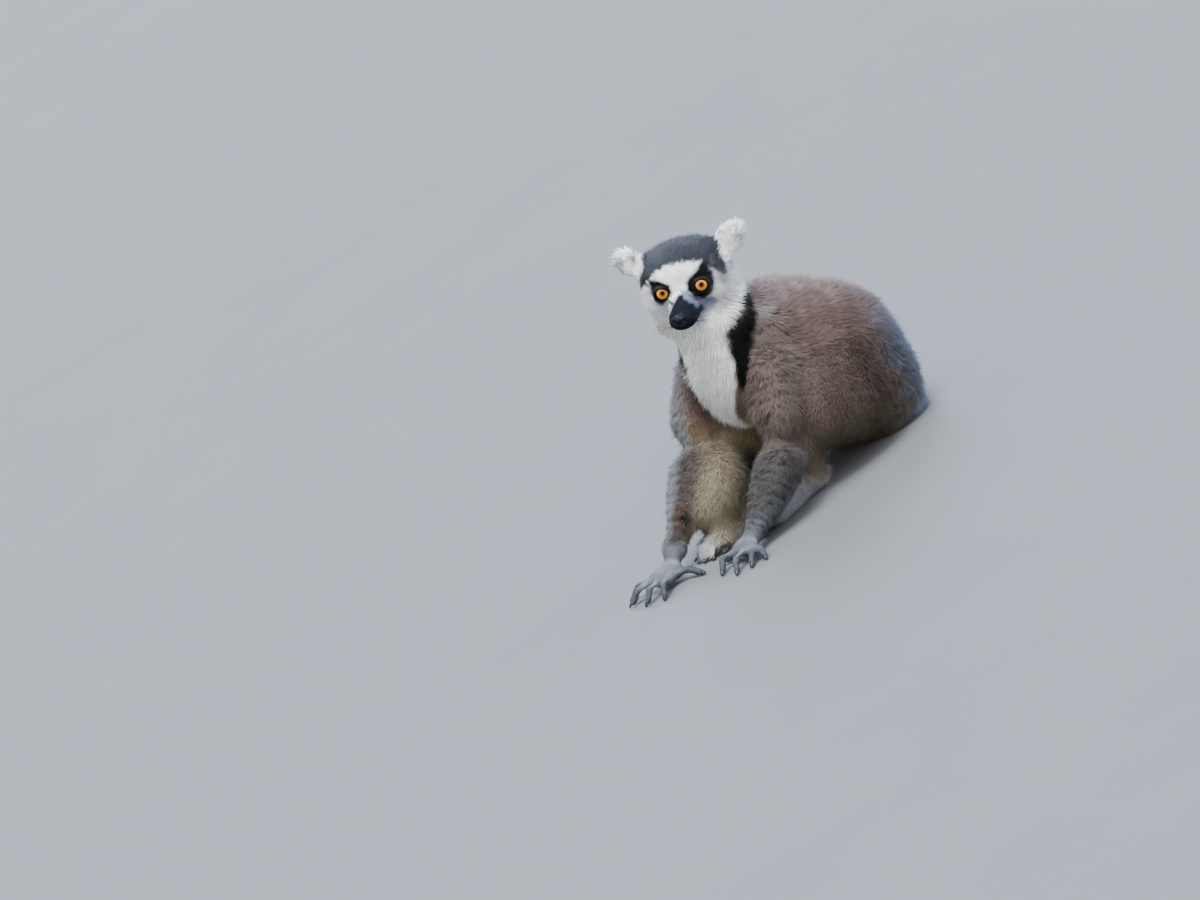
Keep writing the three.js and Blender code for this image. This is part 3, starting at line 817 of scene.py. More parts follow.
def remeshed_flesh():
    """Every node of flesh welded, swollen so that the seams close, and remeshed in voxels to one skin."""
    whole = bmesh.new()
    for name in FLESH + ["eye_left", "eye_right", "nose"]:
        piece = bmesh.new()
        piece.from_mesh(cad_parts[name].data)
        bmesh.ops.remove_doubles(piece, verts=piece.verts, dist=1e-6)
        bmesh.ops.recalc_face_normals(piece, faces=piece.faces)
        points = np.array([v.co for v in piece.verts])
        faces = np.array([[v.index for v in f.verts] for f in piece.faces])
        piece.free()
        swell = SEAM_SWELL if name in FLESH else -SOCKET_SHRINK
        points = points + vertex_normals(points, faces) * swell * MM
        me = bpy.data.meshes.new("swollen")
        me.from_pydata(points.tolist(), [], faces.tolist())
        whole.from_mesh(me)
        bpy.data.meshes.remove(me)
    me = bpy.data.meshes.new("flesh")
    whole.to_mesh(me)
    whole.free()
    ob = bpy.data.objects.new("flesh", me)
    bpy.context.scene.collection.objects.link(ob)
    voxels = ob.modifiers.new("voxels", "REMESH")
    voxels.mode, voxels.voxel_size = "VOXEL", SKIN_VOXEL * MM
    done = bpy.data.meshes.new_from_object(ob.evaluated_get(bpy.context.evaluated_depsgraph_get()))
    bpy.data.objects.remove(ob)
    return done


def fine_face(me):
    """Splits the face's quads in four, twice round the eyes, and cuts the whole skin into triangles."""
    bm = bmesh.new()
    bm.from_mesh(me)
    for reach in ("face", "eyes"):
        centres = np.array([f.calc_center_median() for f in bm.faces]) / MM - SHIFT
        h = to_head(centres)
        if reach == "face":
            near = (h[:, 1] < -6) & (np.abs(h[:, 0]) < 36) & (h[:, 2] > -34) & (h[:, 2] < 26)
            near &= np.linalg.norm(h, axis=1) < 75
        else:
            gaps = [np.linalg.norm(h - socket, axis=1) for socket in EYE_SOCKETS.values()]
            near = np.min(gaps, axis=0) < 13.5
        bm.faces.ensure_lookup_table()
        edges = {e for i in np.nonzero(near)[0] for e in bm.faces[i].edges}
        bmesh.ops.subdivide_edges(bm, edges=list(edges), cuts=1, use_grid_fill=True)
    bmesh.ops.triangulate(bm, faces=bm.faces)
    bm.to_mesh(me)
    bm.free()


def mesh_arrays(me):
    """A triangle mesh's points in millimetres in the animal's frame, its faces and its edges."""
    points = np.zeros(len(me.vertices) * 3)
    me.vertices.foreach_get("co", points)
    faces = np.zeros(len(me.polygons) * 3, np.int64)
    me.loops.foreach_get("vertex_index", faces)
    edges = np.zeros(len(me.edges) * 2, np.int64)
    me.edges.foreach_get("vertices", edges)
    return points.reshape(-1, 3) / MM - SHIFT, faces.reshape(-1, 3), edges.reshape(-1, 2)


def sculpted_face(points, normals):
    """The relief of the face under its short fur: each point moves along its normal by soft bumps."""
    h = to_head(points)
    move = np.zeros(len(points))

    def bump(at, size, height):
        d = (h - np.array(at)) / np.array(size)
        return height * np.exp(-(d**2).sum(1))

    for hand in (1, -1):
        move += bump((hand * 17, -22, 15.5), (9, 12, 4), 1.6)  # brow
        move += bump((hand * 27, -14, -8), (7, 12, 6), 1.2)  # cheekbone
        move += bump((hand * 9.5, -30, -6), (4, 9, 4), -1.0)  # beside the bridge
        move += bump((hand * 8.5, -48, -19), (4.5, 7, 4.5), 0.9)  # whisker pad
        d, *_ = along(h * (hand, 1, 1), MOUTH)
        move -= 0.9 * np.exp(-((d / 1.1) ** 2)) * (h[:, 1] < -20)  # line of the mouth
        move += bump((hand * 13.5, -31, -19), (5, 9, 6), 2.2)  # fuller lip towards the corner of the mouth
    move += bump((0, -52, -29), (7, 8, 3.5), -0.8)  # chin tucked in under the lip
    move += bump((0, -49, -8.5), (5, 7, 4), 1.3)  # bridge that runs level into the nose
    move += bump((0, -60, -20), (5, 5, 3), 1.2)  # upper lip under the nose
    points = points + normals * move[:, None]
    # the lower muzzle is broader than the upper
    on_muzzle = np.linalg.norm(h - (0, -46, -17), axis=1) < 32
    broad = 0.14 * step(h[:, 1], -24, -38) * step(h[:, 2], -5, -13) * on_muzzle
    return points + (h[:, 0] * broad)[:, None] * HEAD[:, 0]


def opened_lids(points):
    """Lids: the skin round each eye lies on a sphere, tucked in behind the opening and full at its rim."""
    for hand in (1, -1):
        off = points - eye_at[hand]
        radius = np.maximum(np.linalg.norm(off, axis=1), 1e-6)
        angle = np.degrees(np.arccos(np.clip(off @ (HEAD @ LIDS[hand]) / radius, -1, 1)))
        near = (radius < 20) & (angle < 110)
        lid = LID_TUCK + (LID_RIM - LID_TUCK) * step(angle, 39, 45)
        lid = lid + 0.7 * step(angle, 48, 62) * step(angle, 80, 64)
        keep = step(angle, 58, 92)
        target = lid * (1 - keep) + radius * keep
        target = np.where((angle > 45) & (radius > target), target * 0.35 + radius * 0.65, target)
        points = np.where(near[:, None], eye_at[hand] + off * (target / radius)[:, None], points)
    return points


def ear_end(normals):
    """How far each point of the skin faces along its ear towards the tip, and 0 off the ears."""
    return (normals * skin_way).sum(1) * skin_share[:, R["ear"]]


flesh_mesh = remeshed_flesh()
fine_face(flesh_mesh)
skin_points, skin_faces, skin_edges = mesh_arrays(flesh_mesh)
bpy.data.meshes.remove(flesh_mesh)
skin_share, _ = region_shares(skin_points)
smooth_pull = per_region(
    skin_share, digit=0.015, hand=0.07, foot=0.1, ear=0.3, muzzle=0.3, head=0.45, ruff=0.5, rest=0.6
)
skin_points = relaxed(skin_points, skin_edges, 45, smooth_pull)
# each fill: its centre, its half widths and how far it lifts the skin
FILLS = [
    ((14, 220, 166), (34, 26, 20), 7.0),  # withers
    ((50, 280, 106), (34, 26, 28), 6.5),  # loins
    ((-24, 60, 35), (9, 13, 17), 4.5),  # inner side of the right wrist
    ((-43, 50, 34), (9, 15, 17), -4.0),  # its outer side, drawn in
]
skin_normals = vertex_normals(skin_points, skin_faces)
for centre, size, height in FILLS:
    skin_points = skin_points + skin_normals * (
        height * np.exp(-(((skin_points - centre) / size) ** 2).sum(1))
    )[:, None]
# digits, hands and feet lose their steps in pairs of rounds, in and out, that keep their girth
paw = per_region(skin_share, digit=1, hand=1, foot=1, rest=0)
for _ in range(14):
    skin_points = relaxed(relaxed(skin_points, skin_edges, 1, 0.5 * paw), skin_edges, 1, -0.52 * paw)
skin_share, skin_way = region_shares(skin_points)
skin_share = relaxed(skin_share, skin_edges, 6, 0.5)
skin_normals = vertex_normals(skin_points, skin_faces)
skin_normals = unit(relaxed(skin_normals, skin_edges, 3, 0.5))

head_frame_points = to_head(skin_points)
face_short = step(head_frame_points[:, 1], 6, -12) * (skin_share[:, R["head"]] + skin_share[:, R["muzzle"]])
skin_tip = ear_end(skin_normals)
# the solids reach to the tips of the coat, so the skin under it lies deeper by these millimetres
COAT_DEPTH = dict(
    head=4.0, muzzle=1.0, ruff=5.5, ear=2.4, neck=6.5, trunk=7.6, thigh=7.0, shank=5.0, foot=1.4, upper=5.6,
    fore=4.2, hand=1.0, digit=0.25, tail=8.0,
)
coat_depth = per_region(skin_share, **COAT_DEPTH, rest=1.0) + 9.5 * step(skin_tip, 0.1, 0.9)
coat_depth = coat_depth + (1.3 - coat_depth) * face_short * step(head_frame_points[:, 2], 24, 14)
coat_depth = relaxed(coat_depth[:, None], skin_edges, 12, 0.5)[:, 0]
floor_near = step(skin_points[:, 2], 9, 1) * step(-skin_normals[:, 2], 0.2, 0.8)
inward = coat_depth * (1 - floor_near)
skin_points = skin_points - skin_normals * inward[:, None]
skin_points = relaxed(skin_points, skin_edges, 4, smooth_pull)
skin_points = opened_lids(sculpted_face(skin_points, skin_normals))
skin_points[:, 2] = np.maximum(skin_points[:, 2], 0.0)
skin_normals = vertex_normals(skin_points, skin_faces)
soft_normals = unit(relaxed(skin_normals, skin_edges, 6, 0.6))

# the coat's lie: along the bones, but away from the nose on the head
away = unit(skin_points - from_head((0, -62, -14)))
down = np.array([0, 0, -1.0])
on_head = np.clip(
    skin_share[:, R["head"]] + skin_share[:, R["muzzle"]] + skin_share[:, R["ruff"]], 0, 1
)[:, None]
lie = skin_way * (1 - on_head) + away * on_head
flank = skin_share[:, R["trunk"]] + skin_share[:, R["thigh"]] * 0.8
lie = lie + flank[:, None] * down * 0.45 * (1 - np.abs(skin_normals[:, 2:3]))
lie = lie + skin_share[:, R["ruff"]][:, None] * (HEAD @ np.array([0, 0.1, -0.5]))
front = step(skin_points[:, 1], 168, 142) * step(np.abs(skin_points[:, 0]), 40, 26)
chest = (front * (skin_share[:, R["trunk"]] + skin_share[:, R["neck"]]))[:, None]
lie = lie * (1 - chest) + np.array([0, -0.15, -1.0]) * chest
lie = lie - soft_normals * (lie * soft_normals).sum(1, keepdims=True)
lie = unit(relaxed(unit(lie), skin_edges, 14, 0.6))
lie = unit(lie - soft_normals * (lie * soft_normals).sum(1, keepdims=True))

skin_colours = markings(skin_points, skin_share, soft_normals)
under_shade = 1 - 0.22 * np.clip(coat_depth / 6, 0, 1)
mesh_object(
    "skin", skin_points, skin_faces, SKIN, FLESH, colours=skin_colours * under_shade[:, None]
)


# ---------------------------------------------------------------- eyes, lids and nose
def grid_faces(rows, columns, closed=True):
    """Quads of a grid of rows by columns, joined round each row when closed."""
    i = np.arange(rows - 1)[:, None] * columns
    j = np.arange(columns if closed else columns - 1)[None, :]
    k = (j + 1) % columns
    return np.stack([i + j, i + k, i + columns + k, i + columns + j], -1).reshape(-1, 4)


def frame_of(axis):
    """Two unit vectors square to an axis and to each other, the first as level as may be."""
    a = unit(np.cross((0, 0, 1.0), axis))
    return a, np.cross(axis, a)


def eyeball(hand):
    """Sphere about the line of sight, its rows square to it, the cornea 0.5 mm proud over the iris."""
    rows, columns = 60, 64
    axis = HEAD @ SIGHT[hand]
    a, b = frame_of(axis)
    t, u = np.meshgrid(np.linspace(0, np.pi, rows), np.linspace(0, 2 * np.pi, columns + 1), indexing="ij")
    radius = EYE_RADIUS + 0.5 * step(np.degrees(t), 42, 12)
    sideways = np.cos(u)[..., None] * a + np.sin(u)[..., None] * b
    points = eye_at[hand] + radius[..., None] * (
        np.cos(t)[..., None] * axis + np.sin(t)[..., None] * sideways
    )
    uv = np.stack([u / (2 * np.pi), t / np.pi], -1)
    name, node = ("eye_of_left", "eye_left") if hand > 0 else ("eye_of_right", "eye_right")
    faces = grid_faces(rows, columns + 1, closed=False)
    mesh_object(name, points.reshape(-1, 3), faces, EYE, [node], uv=uv.reshape(-1, 2))


LID_OPENING = {1: 41.5, -1: 40.0}  # degrees from the middle of the opening to its edge


def lid_rim(hand):
    """Black rim of the lids: a flat tube along the opening, which comes to a soft corner towards the nose."""
    rows, columns = 14, 96
    axis = HEAD @ LIDS[hand]
    up = unit(HEAD[:, 2] - axis * (HEAD[:, 2] @ axis))
    out = np.cross(up, axis)
    out = out * np.sign(HEAD[:, 0] @ out) * hand  # away from the nose
    turn = np.linspace(0, 2 * np.pi, columns, endpoint=False)
    c, s = np.cos(turn), np.sin(turn)
    corners = 5.5 * np.maximum(-c, 0) ** 6 + 2.0 * np.maximum(c, 0) ** 8
    flatness = 2.4 * np.maximum(s, 0) ** 2 + 0.8 * np.maximum(-s, 0) ** 2
    tilt = np.radians(LID_OPENING[hand] + 1.5 * c**2 + corners - flatness)
    radial = c[:, None] * out + s[:, None] * up
    direction = np.cos(tilt)[:, None] * axis + np.sin(tilt)[:, None] * radial
    across = -np.sin(tilt)[:, None] * axis + np.cos(tilt)[:, None] * radial
    v = np.linspace(0, 2 * np.pi, rows, endpoint=False)[:, None, None]
    centre = eye_at[hand] + direction * (EYE_RADIUS + 0.45)
    points = centre[None] + np.cos(v) * across[None] * 1.1 + np.sin(v) * direction[None] * 0.5
    return points.reshape(-1, 3), grid_faces(rows + 1, columns) % (rows * columns)


def outward(points, faces):
    """Turns a closed surface's faces outwards, by the sign of its volume."""
    tri = points[faces[:, :3]]
    volume = np.einsum("ij,ij->i", tri[:, 0], np.cross(tri[:, 1], tri[:, 2])).sum()
    if faces.shape[1] == 4:
        tri = points[faces[:, [0, 2, 3]]]
        volume += np.einsum("ij,ij->i", tri[:, 0], np.cross(tri[:, 1], tri[:, 2])).sum()
    return faces if volume > 0 else faces[:, ::-1]


def nose_leather():
    """Nose: a squashed ball, wide above and narrow below, with two nostrils and a groove down to the lip."""
    rows, columns = 44, 64
    v = np.linspace(0.02, np.pi - 0.02, rows)
    u = np.linspace(0, 2 * np.pi, columns, endpoint=False)
    t, w = np.meshgrid(v, u, indexing="ij")
    # the pole faces forwards: y = -cos, x and z round it
    x, y, z = np.sin(t) * np.cos(w), -np.cos(t), np.sin(t) * np.sin(w)
    flat = np.sign(y) * np.abs(y) ** 0.8
    width = 6.4 * (1 + 0.16 * step(z, -0.4, 0.6) - 0.22 * step(-z, 0.2, 1.0))
    px, py, pz = width * x, 4.8 * flat, 4.9 * z
    fx = np.abs(px)
    nostril = 1.4 * np.exp(-(((fx - 3.7) / 1.2) ** 2) - ((pz - 0.1 - 0.35 * (fx - 3.5)) / 0.8) ** 2)
    slit = np.exp(-(((fx - 5.0) / 1.0) ** 2) - ((pz + 0.5) / 0.5) ** 2) * 0.7
    groove = np.exp(-((px / 0.5) ** 2)) * step(pz, 0.8, -1.2) * 0.8
    rim = np.exp(-(((fx - 3.5) / 2.1) ** 2) - ((pz - 0.2) / 1.7) ** 2) * 0.5
    front = step(-py, -1.5, 1.5)
    py = py + (1.7 * nostril + 0.9 * slit + groove - rim) * front
    points = from_head(np.stack([px, py - 57.2, pz - 14.2], -1).reshape(-1, 3))
    faces = grid_faces(rows, columns)
    return points, outward(points - points.mean(0), faces)


eyeball(1)
eyeball(-1)
rims = [lid_rim(1), lid_rim(-1)]
rim_faces = [
    outward(points - points.mean(0), faces) + i * len(points) for i, (points, faces) in enumerate(rims)
]
mesh_object("lid_rims", np.vstack([points for points, _ in rims]), np.vstack(rim_faces), LID_SKIN)
nose_points, nose_faces = nose_leather()
mesh_object("nose_leather", nose_points, nose_faces, NOSE_LEATHER, ["nose"])


def nails():
    """Flat nails: each a domed shield 4.8 mm long on the top of a digit's end, with a closed underside."""
    rows, columns = 7, 9
    all_points, all_faces = [], []
    ends = [(np.array(row[-2], float), np.array(row[-1], float)) for row in LEFT_DIGITS + RIGHT_DIGITS]
    for heel in ((25, 176, 106), (-17, 135, 88)):
        for dx, share in ((-19, 0.88), (-11, 0.97), (-2, 1.0), (6, 1.0), (15, 0.95)):
            tip = np.array([heel[0] + np.sign(heel[0]) * dx, heel[1] - heel[2] * share, DIGIT_TIP])
            ends.append((tip + np.array([0, 12.0, 5.0]), tip))
    for joint, tip in ends:
        way = unit(tip - joint)
        up = unit(np.array([0, 0, 1.0]) - way * way[2])
        side = np.cross(way, up)
        s, t = np.meshgrid(np.linspace(-1, 1, columns), np.linspace(0, 1, rows))
        base = tip - way * 2.6
        off = skin_points - base
        under_nail = (
            (np.abs(off @ way - 2.6) < 2.6) & (np.abs(off @ side) < 1.6) & (off @ up > -1) & (off @ up < 7)
        )
        lift = (off[under_nail] @ up).max() if under_nail.any() else 2.6
        half = 1.75 * np.sqrt(np.clip(1 - ((t - 0.42) / 0.62) ** 2, 0.06, 1))
        height = lift + 0.35 - 0.75 * s**2 - 0.8 * np.maximum(t - 0.55, 0) ** 1.5
        top = base + way * (t * 4.8)[..., None] + side * (s * half)[..., None] + up * height[..., None]
        under = top - up * 0.7
        shell = np.concatenate([top.reshape(-1, 3), under.reshape(-1, 3)])
        quads = grid_faces(rows, columns, closed=False)
        n = rows * columns
        right, left = np.arange(2, rows + 1) * columns - 1, np.arange(rows - 2, 0, -1) * columns
        ring = np.r_[np.arange(columns), right, np.arange(n - 2, n - columns - 1, -1), left]
        nxt = np.roll(ring, -1)
        walls = np.stack([ring, ring + n, nxt + n, nxt], -1)
        faces = np.vstack([quads, quads[:, ::-1] + n, walls])
        shell[:, 2] = np.maximum(shell[:, 2], FLOOR_GAP)
        all_faces.append(outward(shell - shell.mean(0), faces) + sum(len(p) for p in all_points))
        all_points.append(shell)
    return np.vstack(all_points), np.vstack(all_faces)


nail_points, nail_faces = nails()
mesh_object("nails", nail_points, nail_faces, NAIL)

# ---------------------------------------------------------------- coat
corner_a, corner_b, corner_c = (skin_points[skin_faces[:, i]] for i in range(3))
face_area = 0.5 * np.linalg.norm(np.cross(corner_b - corner_a, corner_c - corner_a), axis=1)
face_share = skin_share[skin_faces].mean(1)
face_region = face_share.argmax(1)
face_centre = skin_points[skin_faces].mean(1)
face_head = to_head(face_centre)
face_normal = soft_normals[skin_faces].mean(1)
eye_clear = np.ones(len(skin_faces), bool)
for hand in (1, -1):
    off = face_centre - eye_at[hand]
    gap = np.linalg.norm(off, axis=1)
    ang = np.degrees(np.arccos(np.clip(off @ (HEAD @ LIDS[hand]) / gap, -1, 1)))
    eye_clear &= ~((gap < 13) & (ang < 50))
nose_clear = np.linalg.norm((face_head - (0, -59, -15.5)) / (6.2, 6, 5.6), axis=1) > 1
hidden_floor = (face_centre[:, 2] < 1.5) & (face_normal[:, 2] < -0.7)
bare = ~eye_clear | ~nose_clear


def unwrapped(points, line, side):
    """Places on an unwrap of the skin about a path: the turn about it is u, and the run down it is v."""
    _, run, way, out = along(points, line)
    path = np.asarray(line, float)[:, :3]
    a = unit(np.cross(way, side))
    b = np.cross(a, way)
    u = np.arctan2((out * a).sum(1), (out * b).sum(1)) / (2 * np.pi) + 0.5
    total = np.linalg.norm(np.diff(path, axis=0), axis=1).sum()
    # points before the path's start and past its end run on beyond it
    before = (points - path[0]) @ way[run.argmin()]
    v = (run + np.where(run <= 0, np.minimum(before, 0), 0)) / total
    past = ((points - path[-1]) * way).sum(1)
    v = v + np.where(run >= total - 1e-6, np.maximum(past, 0) / total, 0)
    v = (v - v.min()) / max(v.max() - v.min(), 1e-6)
    return np.column_stack([0.01 + 0.98 * u, 0.01 + 0.98 * v])


def grow(
    name, chosen, count, line, side, material, slot, length, width, rise, seed, clump=0.35, wander=0.12,
    tips=1.1, roots=0.62, speckle=0.1, tetra=False, weight=None, crinkle=0.0, thin=0.42, reach=0.6
):
    """Tufts over the chosen faces of the skin, more where weight is high.

    Each is a three-sided spindle with its root in the skin: it widens to a ring of three points, with a
    ridge on top, at two fifths of its length, and runs out to a point. With tetra it is widest at the root.
    It leaves the skin along the coat's lie and stands as high as rise at the tip, and neighbours' tips draw
    together down the slope of a noise field. length, width and rise are millimetres, each a number or one
    for each vertex of the skin.
    """
    rng = np.random.default_rng(seed)
    faces = np.nonzero(chosen)[0]
    p = face_area[faces] * (1.0 if weight is None else weight[faces])
    picked = faces[rng.choice(len(faces), count, p=p / p.sum())]
    r1, r2 = np.sqrt(rng.random(count)), rng.random(count)
    bary = np.column_stack([1 - r1, r1 * (1 - r2), r1 * r2])
    corners = skin_faces[picked]

    def at(values):
        values = np.broadcast_to(values, (len(skin_points),)) if np.ndim(values) < 1 else values
        return np.einsum("nk,nk...->n...", bary, values[corners])

    root, n, way, share = at(skin_points), unit(at(soft_normals)), at(lie), at(skin_share)
    side_way = unit(np.cross(way, n))
    way = unit(
        way + side_way * rng.normal(0, wander, (count, 1)) + 0.12 * side_way * patch_noise(root)[:, None]
    )
    way = unit(way - n * (way * n).sum(1, keepdims=True))
    size = rng.uniform(0.75, 1.2, count)
    long = at(length) * size
    wide = at(width) * rng.uniform(0.75, 1.3, count)
    high = at(rise) * rng.normal(1.0, 0.24, count).clip(0.45, 1.6)
    stray = rng.random(count) < 0.09
    high = np.where(stray, high * 1.45, high)
    if crinkle:
        _, run, _, _ = along(root, line)
        bands = np.sin(2 * np.pi * run / 8.5 + 2.2 * patch_noise(root)) * step(fine_noise(root), -0.9, 0.4)
        high = high * (1 + 0.35 * crinkle * bands)
        long = long * (1 + 0.12 * crinkle * bands)
    value, slope = clump_noise(root, True)
    small_value, small_slope = small_clump_noise(root, True)
    draw = slope + 0.6 * small_slope
    draw = draw - n * (draw * n).sum(1, keepdims=True)
    tip = root + way * long[:, None] + n * high[:, None] + draw * (clump * long * 0.35)[:, None]
    ring_at = (
        root + way * (long * 0.42)[:, None] + n * (high * 0.7)[:, None]
        + draw * (clump * long * 0.1)[:, None]
    )
    side_way = unit(np.cross(unit(tip - root), n))
    up = unit(np.cross(side_way, unit(tip - root)))
    start = root - n * 0.5
    if tetra:
        ring_at = start
    a = ring_at + side_way * (wide / 2)[:, None]
    b = ring_at + up * (wide * thin)[:, None]
    c = ring_at - side_way * (wide / 2)[:, None]
    tone = markings(root + way * (long * reach)[:, None] + n * (high * 0.5)[:, None], share, n)
    shade = 1 + speckle * rng.normal(0, 1, count) + 0.07 * value + 0.05 * small_value
    # painted shade: the troughs between the crinkled waves darkened
    if crinkle:
        shade = shade * (1 - 0.7 * crinkle * np.maximum(-bands, 0) ** 1.5)
    grizzled = np.where((tone.mean(1) < 0.07) & (tone.mean(1) > 0.012), 2.6, 1.0)
    shade = 1 + (shade - 1) * grizzled
    tone = np.clip(tone * shade.clip(0.35, 2.2)[:, None], 0.001, 1)
    warm = rng.normal(0, 0.03, (count, 1)) * np.array([1.0, 0.1, -1.0])
    tone = np.clip(tone * (1 + warm), 0.001, 1)
    # painted shade and light: roots darkens each tuft towards its root, as shade deep in the coat, and tips
    # pales it towards its tip, as light on the coat's surface
    dark, pale = tone * roots, np.clip(tone * tips, 0, 1)
    spot = unwrapped(root, line, side)
    if tetra:
        points = np.stack([a, b, c, tip], 1)
        normals = np.stack([unit(n + 0.5 * side_way), n, unit(n - 0.5 * side_way), unit(n + 0.2 * way)], 1)
        colours = np.stack([dark, dark, dark, pale], 1)
        shifts = np.array([(-0.4, -0.4), (0, -0.2), (0.4, -0.4), (0, 0.45)]) * PATCH
        sides = np.array([[0, 2, 3], [2, 1, 3], [1, 0, 3], [0, 1, 2]])
    else:
        points = np.stack([start, a, b, c, tip], 1)
        normals = np.stack(
            [n, unit(n + 0.55 * side_way), n, unit(n - 0.55 * side_way), unit(n + 0.25 * way)], 1
        )
        # the ridge on top is painted 4% paler, as light falling on it
        colours = np.stack([dark, tone, tone * 1.04, tone, pale], 1)
        shifts = np.array([(0, -0.45), (-0.35, 0), (0, 0.05), (0.35, 0), (0, 0.45)]) * PATCH
        sides = np.array([[1, 3, 4], [3, 2, 4], [2, 1, 4], [3, 1, 0], [2, 3, 0], [1, 2, 0]])
    k = points.shape[1]
    points = points.reshape(-1, 3)
    points[:, 2] = np.maximum(points[:, 2], FLOOR_GAP)
    uv = (spot[:, None, :] + shifts[None]).reshape(-1, 2)
    tuft_faces = (np.arange(count)[:, None, None] * k + sides[None]).reshape(-1, 3)
    colours, normals = colours.reshape(-1, 3), normals.reshape(-1, 3)
    mesh_object(name, points, tuft_faces, material, colours=colours, uv=uv, normals=normals)


left_face = face_centre[:, 0] > 0
is_region = {name: face_region == R[name] for name in REGIONS}
head_like = is_region["head"] | is_region["muzzle"]
front_head = head_like & (face_head[:, 1] < 4) & ~bare
back_head = head_like & ~(face_head[:, 1] < 4) & ~bare
ground = ~hidden_floor
v_head = to_head(skin_points)
short = step(v_head[:, 1], -2, -26)
near_nose = step(v_head[:, 1], -24, -42)
high_head = step(v_head[:, 2], 14, 26)
face_length = 7.5 - 3.6 * short - 1.9 * near_nose + 1.5 * high_head
face_width = 0.75 - 0.2 * short - 0.1 * near_nose
face_rise = 1.9 - 1.0 * short - 0.45 * near_nose + 1.2 * high_head
ear_edge = step(np.abs(v_head[:, 0]), 34, 52)
X, Z = (1, 0, 0), (0, 0, 1)
head_axis = in_head([(0, 6, 40, 36), (0, 4, -34, 36)])
front_weight = 1 + 1.2 * step(face_head[:, 1], -6, -26) + 0.8 * step(face_head[:, 1], -24, -40)

ear_rise = 2.3 + 1.6 * ear_edge + 4.0 * step(ear_end(skin_normals), 0.3, 0.95)
ear_length = 7.0 + 2.5 * ear_edge

grow(
    "face_coat", front_head, 46000, head_axis, HEAD[:, 0], FACE_COAT, "head_coat", face_length, face_width,
    face_rise, 21, clump=0.12, wander=0.18, tips=1.08, roots=0.85, speckle=0.09, tetra=True,
    weight=front_weight, thin=0.5, reach=0.7
)
grow(
    "crown_and_nape_coat", back_head, 16000, head_axis, HEAD[:, 0], FACE_COAT, "head_coat", 8.5, 0.8, 4.2,
    22, clump=0.25, speckle=0.18, tips=1.5, roots=0.5, wander=0.25, tetra=True
)
grow(
    "ruff_coat", is_region["ruff"] & ~bare, 17000, head_axis, HEAD[:, 0], WHITE_COAT, "head_coat", 10.5,
    0.8, 4.8, 23, clump=0.25, speckle=0.05, roots=0.92, tips=1.03, wander=0.24
)
grow(
    "ear_coat", is_region["ear"], 15000, in_head([(-60, 6, 30, 20), (60, 6, 30, 20)]), HEAD[:, 1],
    WHITE_COAT, "ear_coat", ear_length, 0.7, ear_rise, 24, clump=0.3, wander=0.28, speckle=0.04, roots=0.95,
    tips=1.03
)
grow(
    "neck_coat", is_region["neck"], 17000, [(5, 158, 200, 32), (0, 176, 120, 44)], X, WHITE_COAT,
    "body_coat", 11.0, 0.85, 5.6, 25, clump=0.25, speckle=0.06, wander=0.24, roots=0.88, tips=1.04
)
plush = dict(tetra=True, clump=0.15, wander=0.38, tips=1.18, roots=0.68, speckle=0.12, thin=0.5)
grow(
    "trunk_left_coat", is_region["trunk"] & left_face & ground, 39000, TRUNK_LINE, X, BODY_COAT,
    "body_coat", 8.2, 0.95, 6.3, 26, **plush
)
grow(
    "trunk_right_coat", is_region["trunk"] & ~left_face & ground, 29000, TRUNK_LINE, X, BODY_COAT,
    "body_coat", 8.6, 1.05, 6.3, 27, **plush
)
grow(
    "thigh_left_coat", is_region["thigh"] & left_face & ground, 28000, LEFT_THIGH_LINE, X, BODY_COAT,
    "body_coat", 8.0, 0.95, 5.8, 28, **plush
)
grow(
    "thigh_right_coat", is_region["thigh"] & ~left_face & ground, 15000, RIGHT_THIGH_LINE, X, BODY_COAT,
    "body_coat", 8.6, 1.1, 5.8, 29, **plush
)
arm = is_region["upper"] | is_region["fore"]
arm_length = per_region(skin_share, upper=8.2, fore=7.0, hand=4.5, rest=9.5)
wrist_short = 0.55 + 0.45 * step(skin_points[:, 2], 18, 46)
arm_length = arm_length * wrist_short
arm_rise = wrist_short * per_region(skin_share, upper=4.8, fore=3.6, hand=1.2, rest=5.0)
# paths down the arms, about which their coats are unwrapped
left_arm_line = [(38, 172, 136, 27), (51, 144, 86, 26), (55, 118, 52, 24), (51, 62, 18, 12)]
right_arm_line = [(-28, 166, 146, 22), (-43, 130, 103, 20), (-42, 105, 68, 21), (-31, 40, 26, 13)]
grow(
    "arm_left_coat", arm & left_face & ground, 32000, left_arm_line, X, BODY_COAT, "arm_coat", arm_length,
    0.95, arm_rise, 30, crinkle=1.0, **plush
)
grow(
    "arm_right_coat", arm & ~left_face & ground, 25000, right_arm_line, X, BODY_COAT, "arm_coat",
    arm_length, 0.9, arm_rise, 31, crinkle=0.8, **plush
)
grow(
    "shank_coat", is_region["shank"] & ground, 14000, [(-60, 120, 50, 20), (60, 150, 50, 20)], Z, BODY_COAT,
    "leg_coat", 10.0, 1.0, 4.8, 32, **plush
)
hand_faces = (is_region["hand"] | is_region["digit"]) & ground
paw_length = per_region(skin_share, hand=4.6, digit=2.2, fore=7.0, rest=4.5)
paw_rise = per_region(skin_share, hand=1.1, digit=0.35, fore=2.5, rest=1.2)
paw_weight = 1 - 0.75 * face_share[:, R["digit"]]
grow(
    "hand_coat", hand_faces, 11000, [(-60, 25, 8, 14), (80, 40, 8, 14)], Z, FACE_COAT, "hand_coat",
    paw_length, 0.55, paw_rise, 33, clump=0.15, speckle=0.12, tetra=True, weight=paw_weight
)
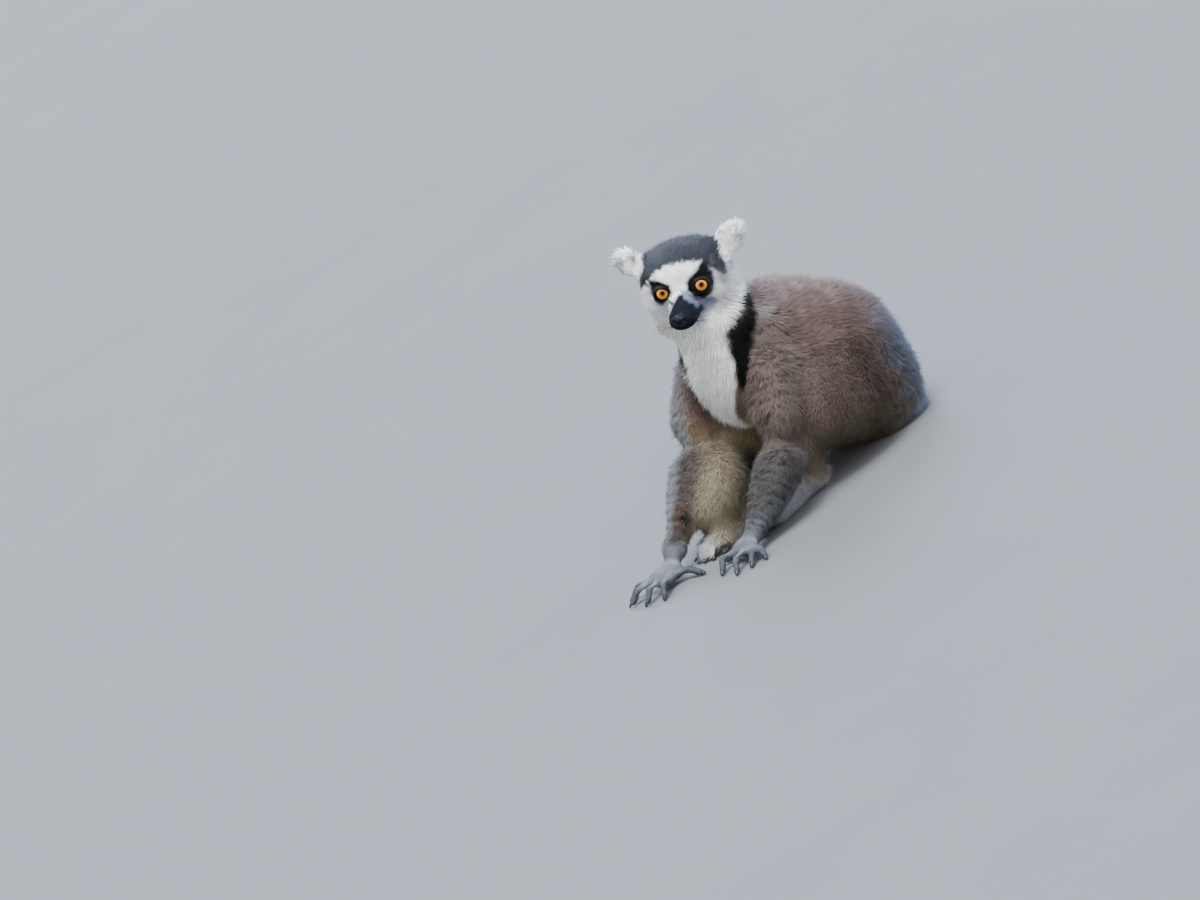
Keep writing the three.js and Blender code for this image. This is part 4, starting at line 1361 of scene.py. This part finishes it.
grow(
    "foot_coat", is_region["foot"] & ground, 10000, [(-50, 110, 8, 14), (50, 130, 8, 14)], Z, FACE_COAT,
    "foot_coat", 4.8, 0.6, 1.3, 34, clump=0.15, speckle=0.12, tetra=True
)
grow(
    "tail_coat", is_region["tail"] & ground, 24000, TAIL_LINE, Z, BODY_COAT, "tail_coat", 14.0, 1.05, 7.0,
    35, clump=0.3, wander=0.22, speckle=0.08
)


# the whiskers' roots in the head's frame; those of the lip also with their rise and their length
LIP_SEATS = [
    (8.6, -51, -17, 0.18, 24), (9.4, -48, -18, 0.1, 27), (9.8, -45, -17, 0.22, 28),
    (9.6, -50, -20, -0.12, 24), (10.6, -46, -20.5, -0.2, 26), (11.2, -42, -19.5, 0.0, 25),
    (10.4, -43, -22, -0.32, 22),
]
BROW_SEATS = [(13, -26, 14.5), (16, -25, 15.5), (19, -23, 15)]


def whiskers():
    """Bristles of the lip and brow: thin three-sided spindles that sweep back, 0.35 mm thick at the root."""
    rng = np.random.default_rng(41)
    points, faces = [], []
    seats = [
        (hand * x, y, z, hand * 0.9, 0.42, dz, length) for hand in (1, -1)
        for x, y, z, dz, length in LIP_SEATS
    ]
    seats += [(hand * x, y, z, hand * 0.5, 0.1, 0.8, 15) for hand in (1, -1) for x, y, z in BROW_SEATS]
    steps, n = 9, 0
    bend = np.array([0, 0.35, -0.22])
    for x, y, z, dx, dy, dz, length in seats:
        t = np.linspace(0, 1, steps)[:, None]
        way = unit(np.array([dx, dy, dz]) + rng.normal(0, 0.05, 3))
        path = np.array([x, y, z]) + way * t * length + bend * t**2 * length * 0.5
        a, b = frame_of(way)
        radius = 0.16 * (1 - t) ** 0.7 + 0.015
        turn = np.arange(3) * 2 * np.pi / 3
        spokes = np.cos(turn)[None, :, None] * a + np.sin(turn)[None, :, None] * b
        ring = path[:, None, :] + radius[:, None, :] * spokes
        quads = grid_faces(steps, 3)
        last = steps * 3 - 1
        tri = np.vstack([quads[:, [0, 1, 2]], quads[:, [0, 2, 3]], [[0, 2, 1]], [[last - 2, last - 1, last]]])
        flat = ring.reshape(-1, 3)
        faces.append(outward(flat - flat.mean(0), tri) + n)
        points.append(from_head(flat))
        n += len(flat)
    return np.vstack(points), np.vstack(faces)


whisker_points, whisker_faces = whiskers()
mesh_object("whiskers", whisker_points, whisker_faces, WHISKER)
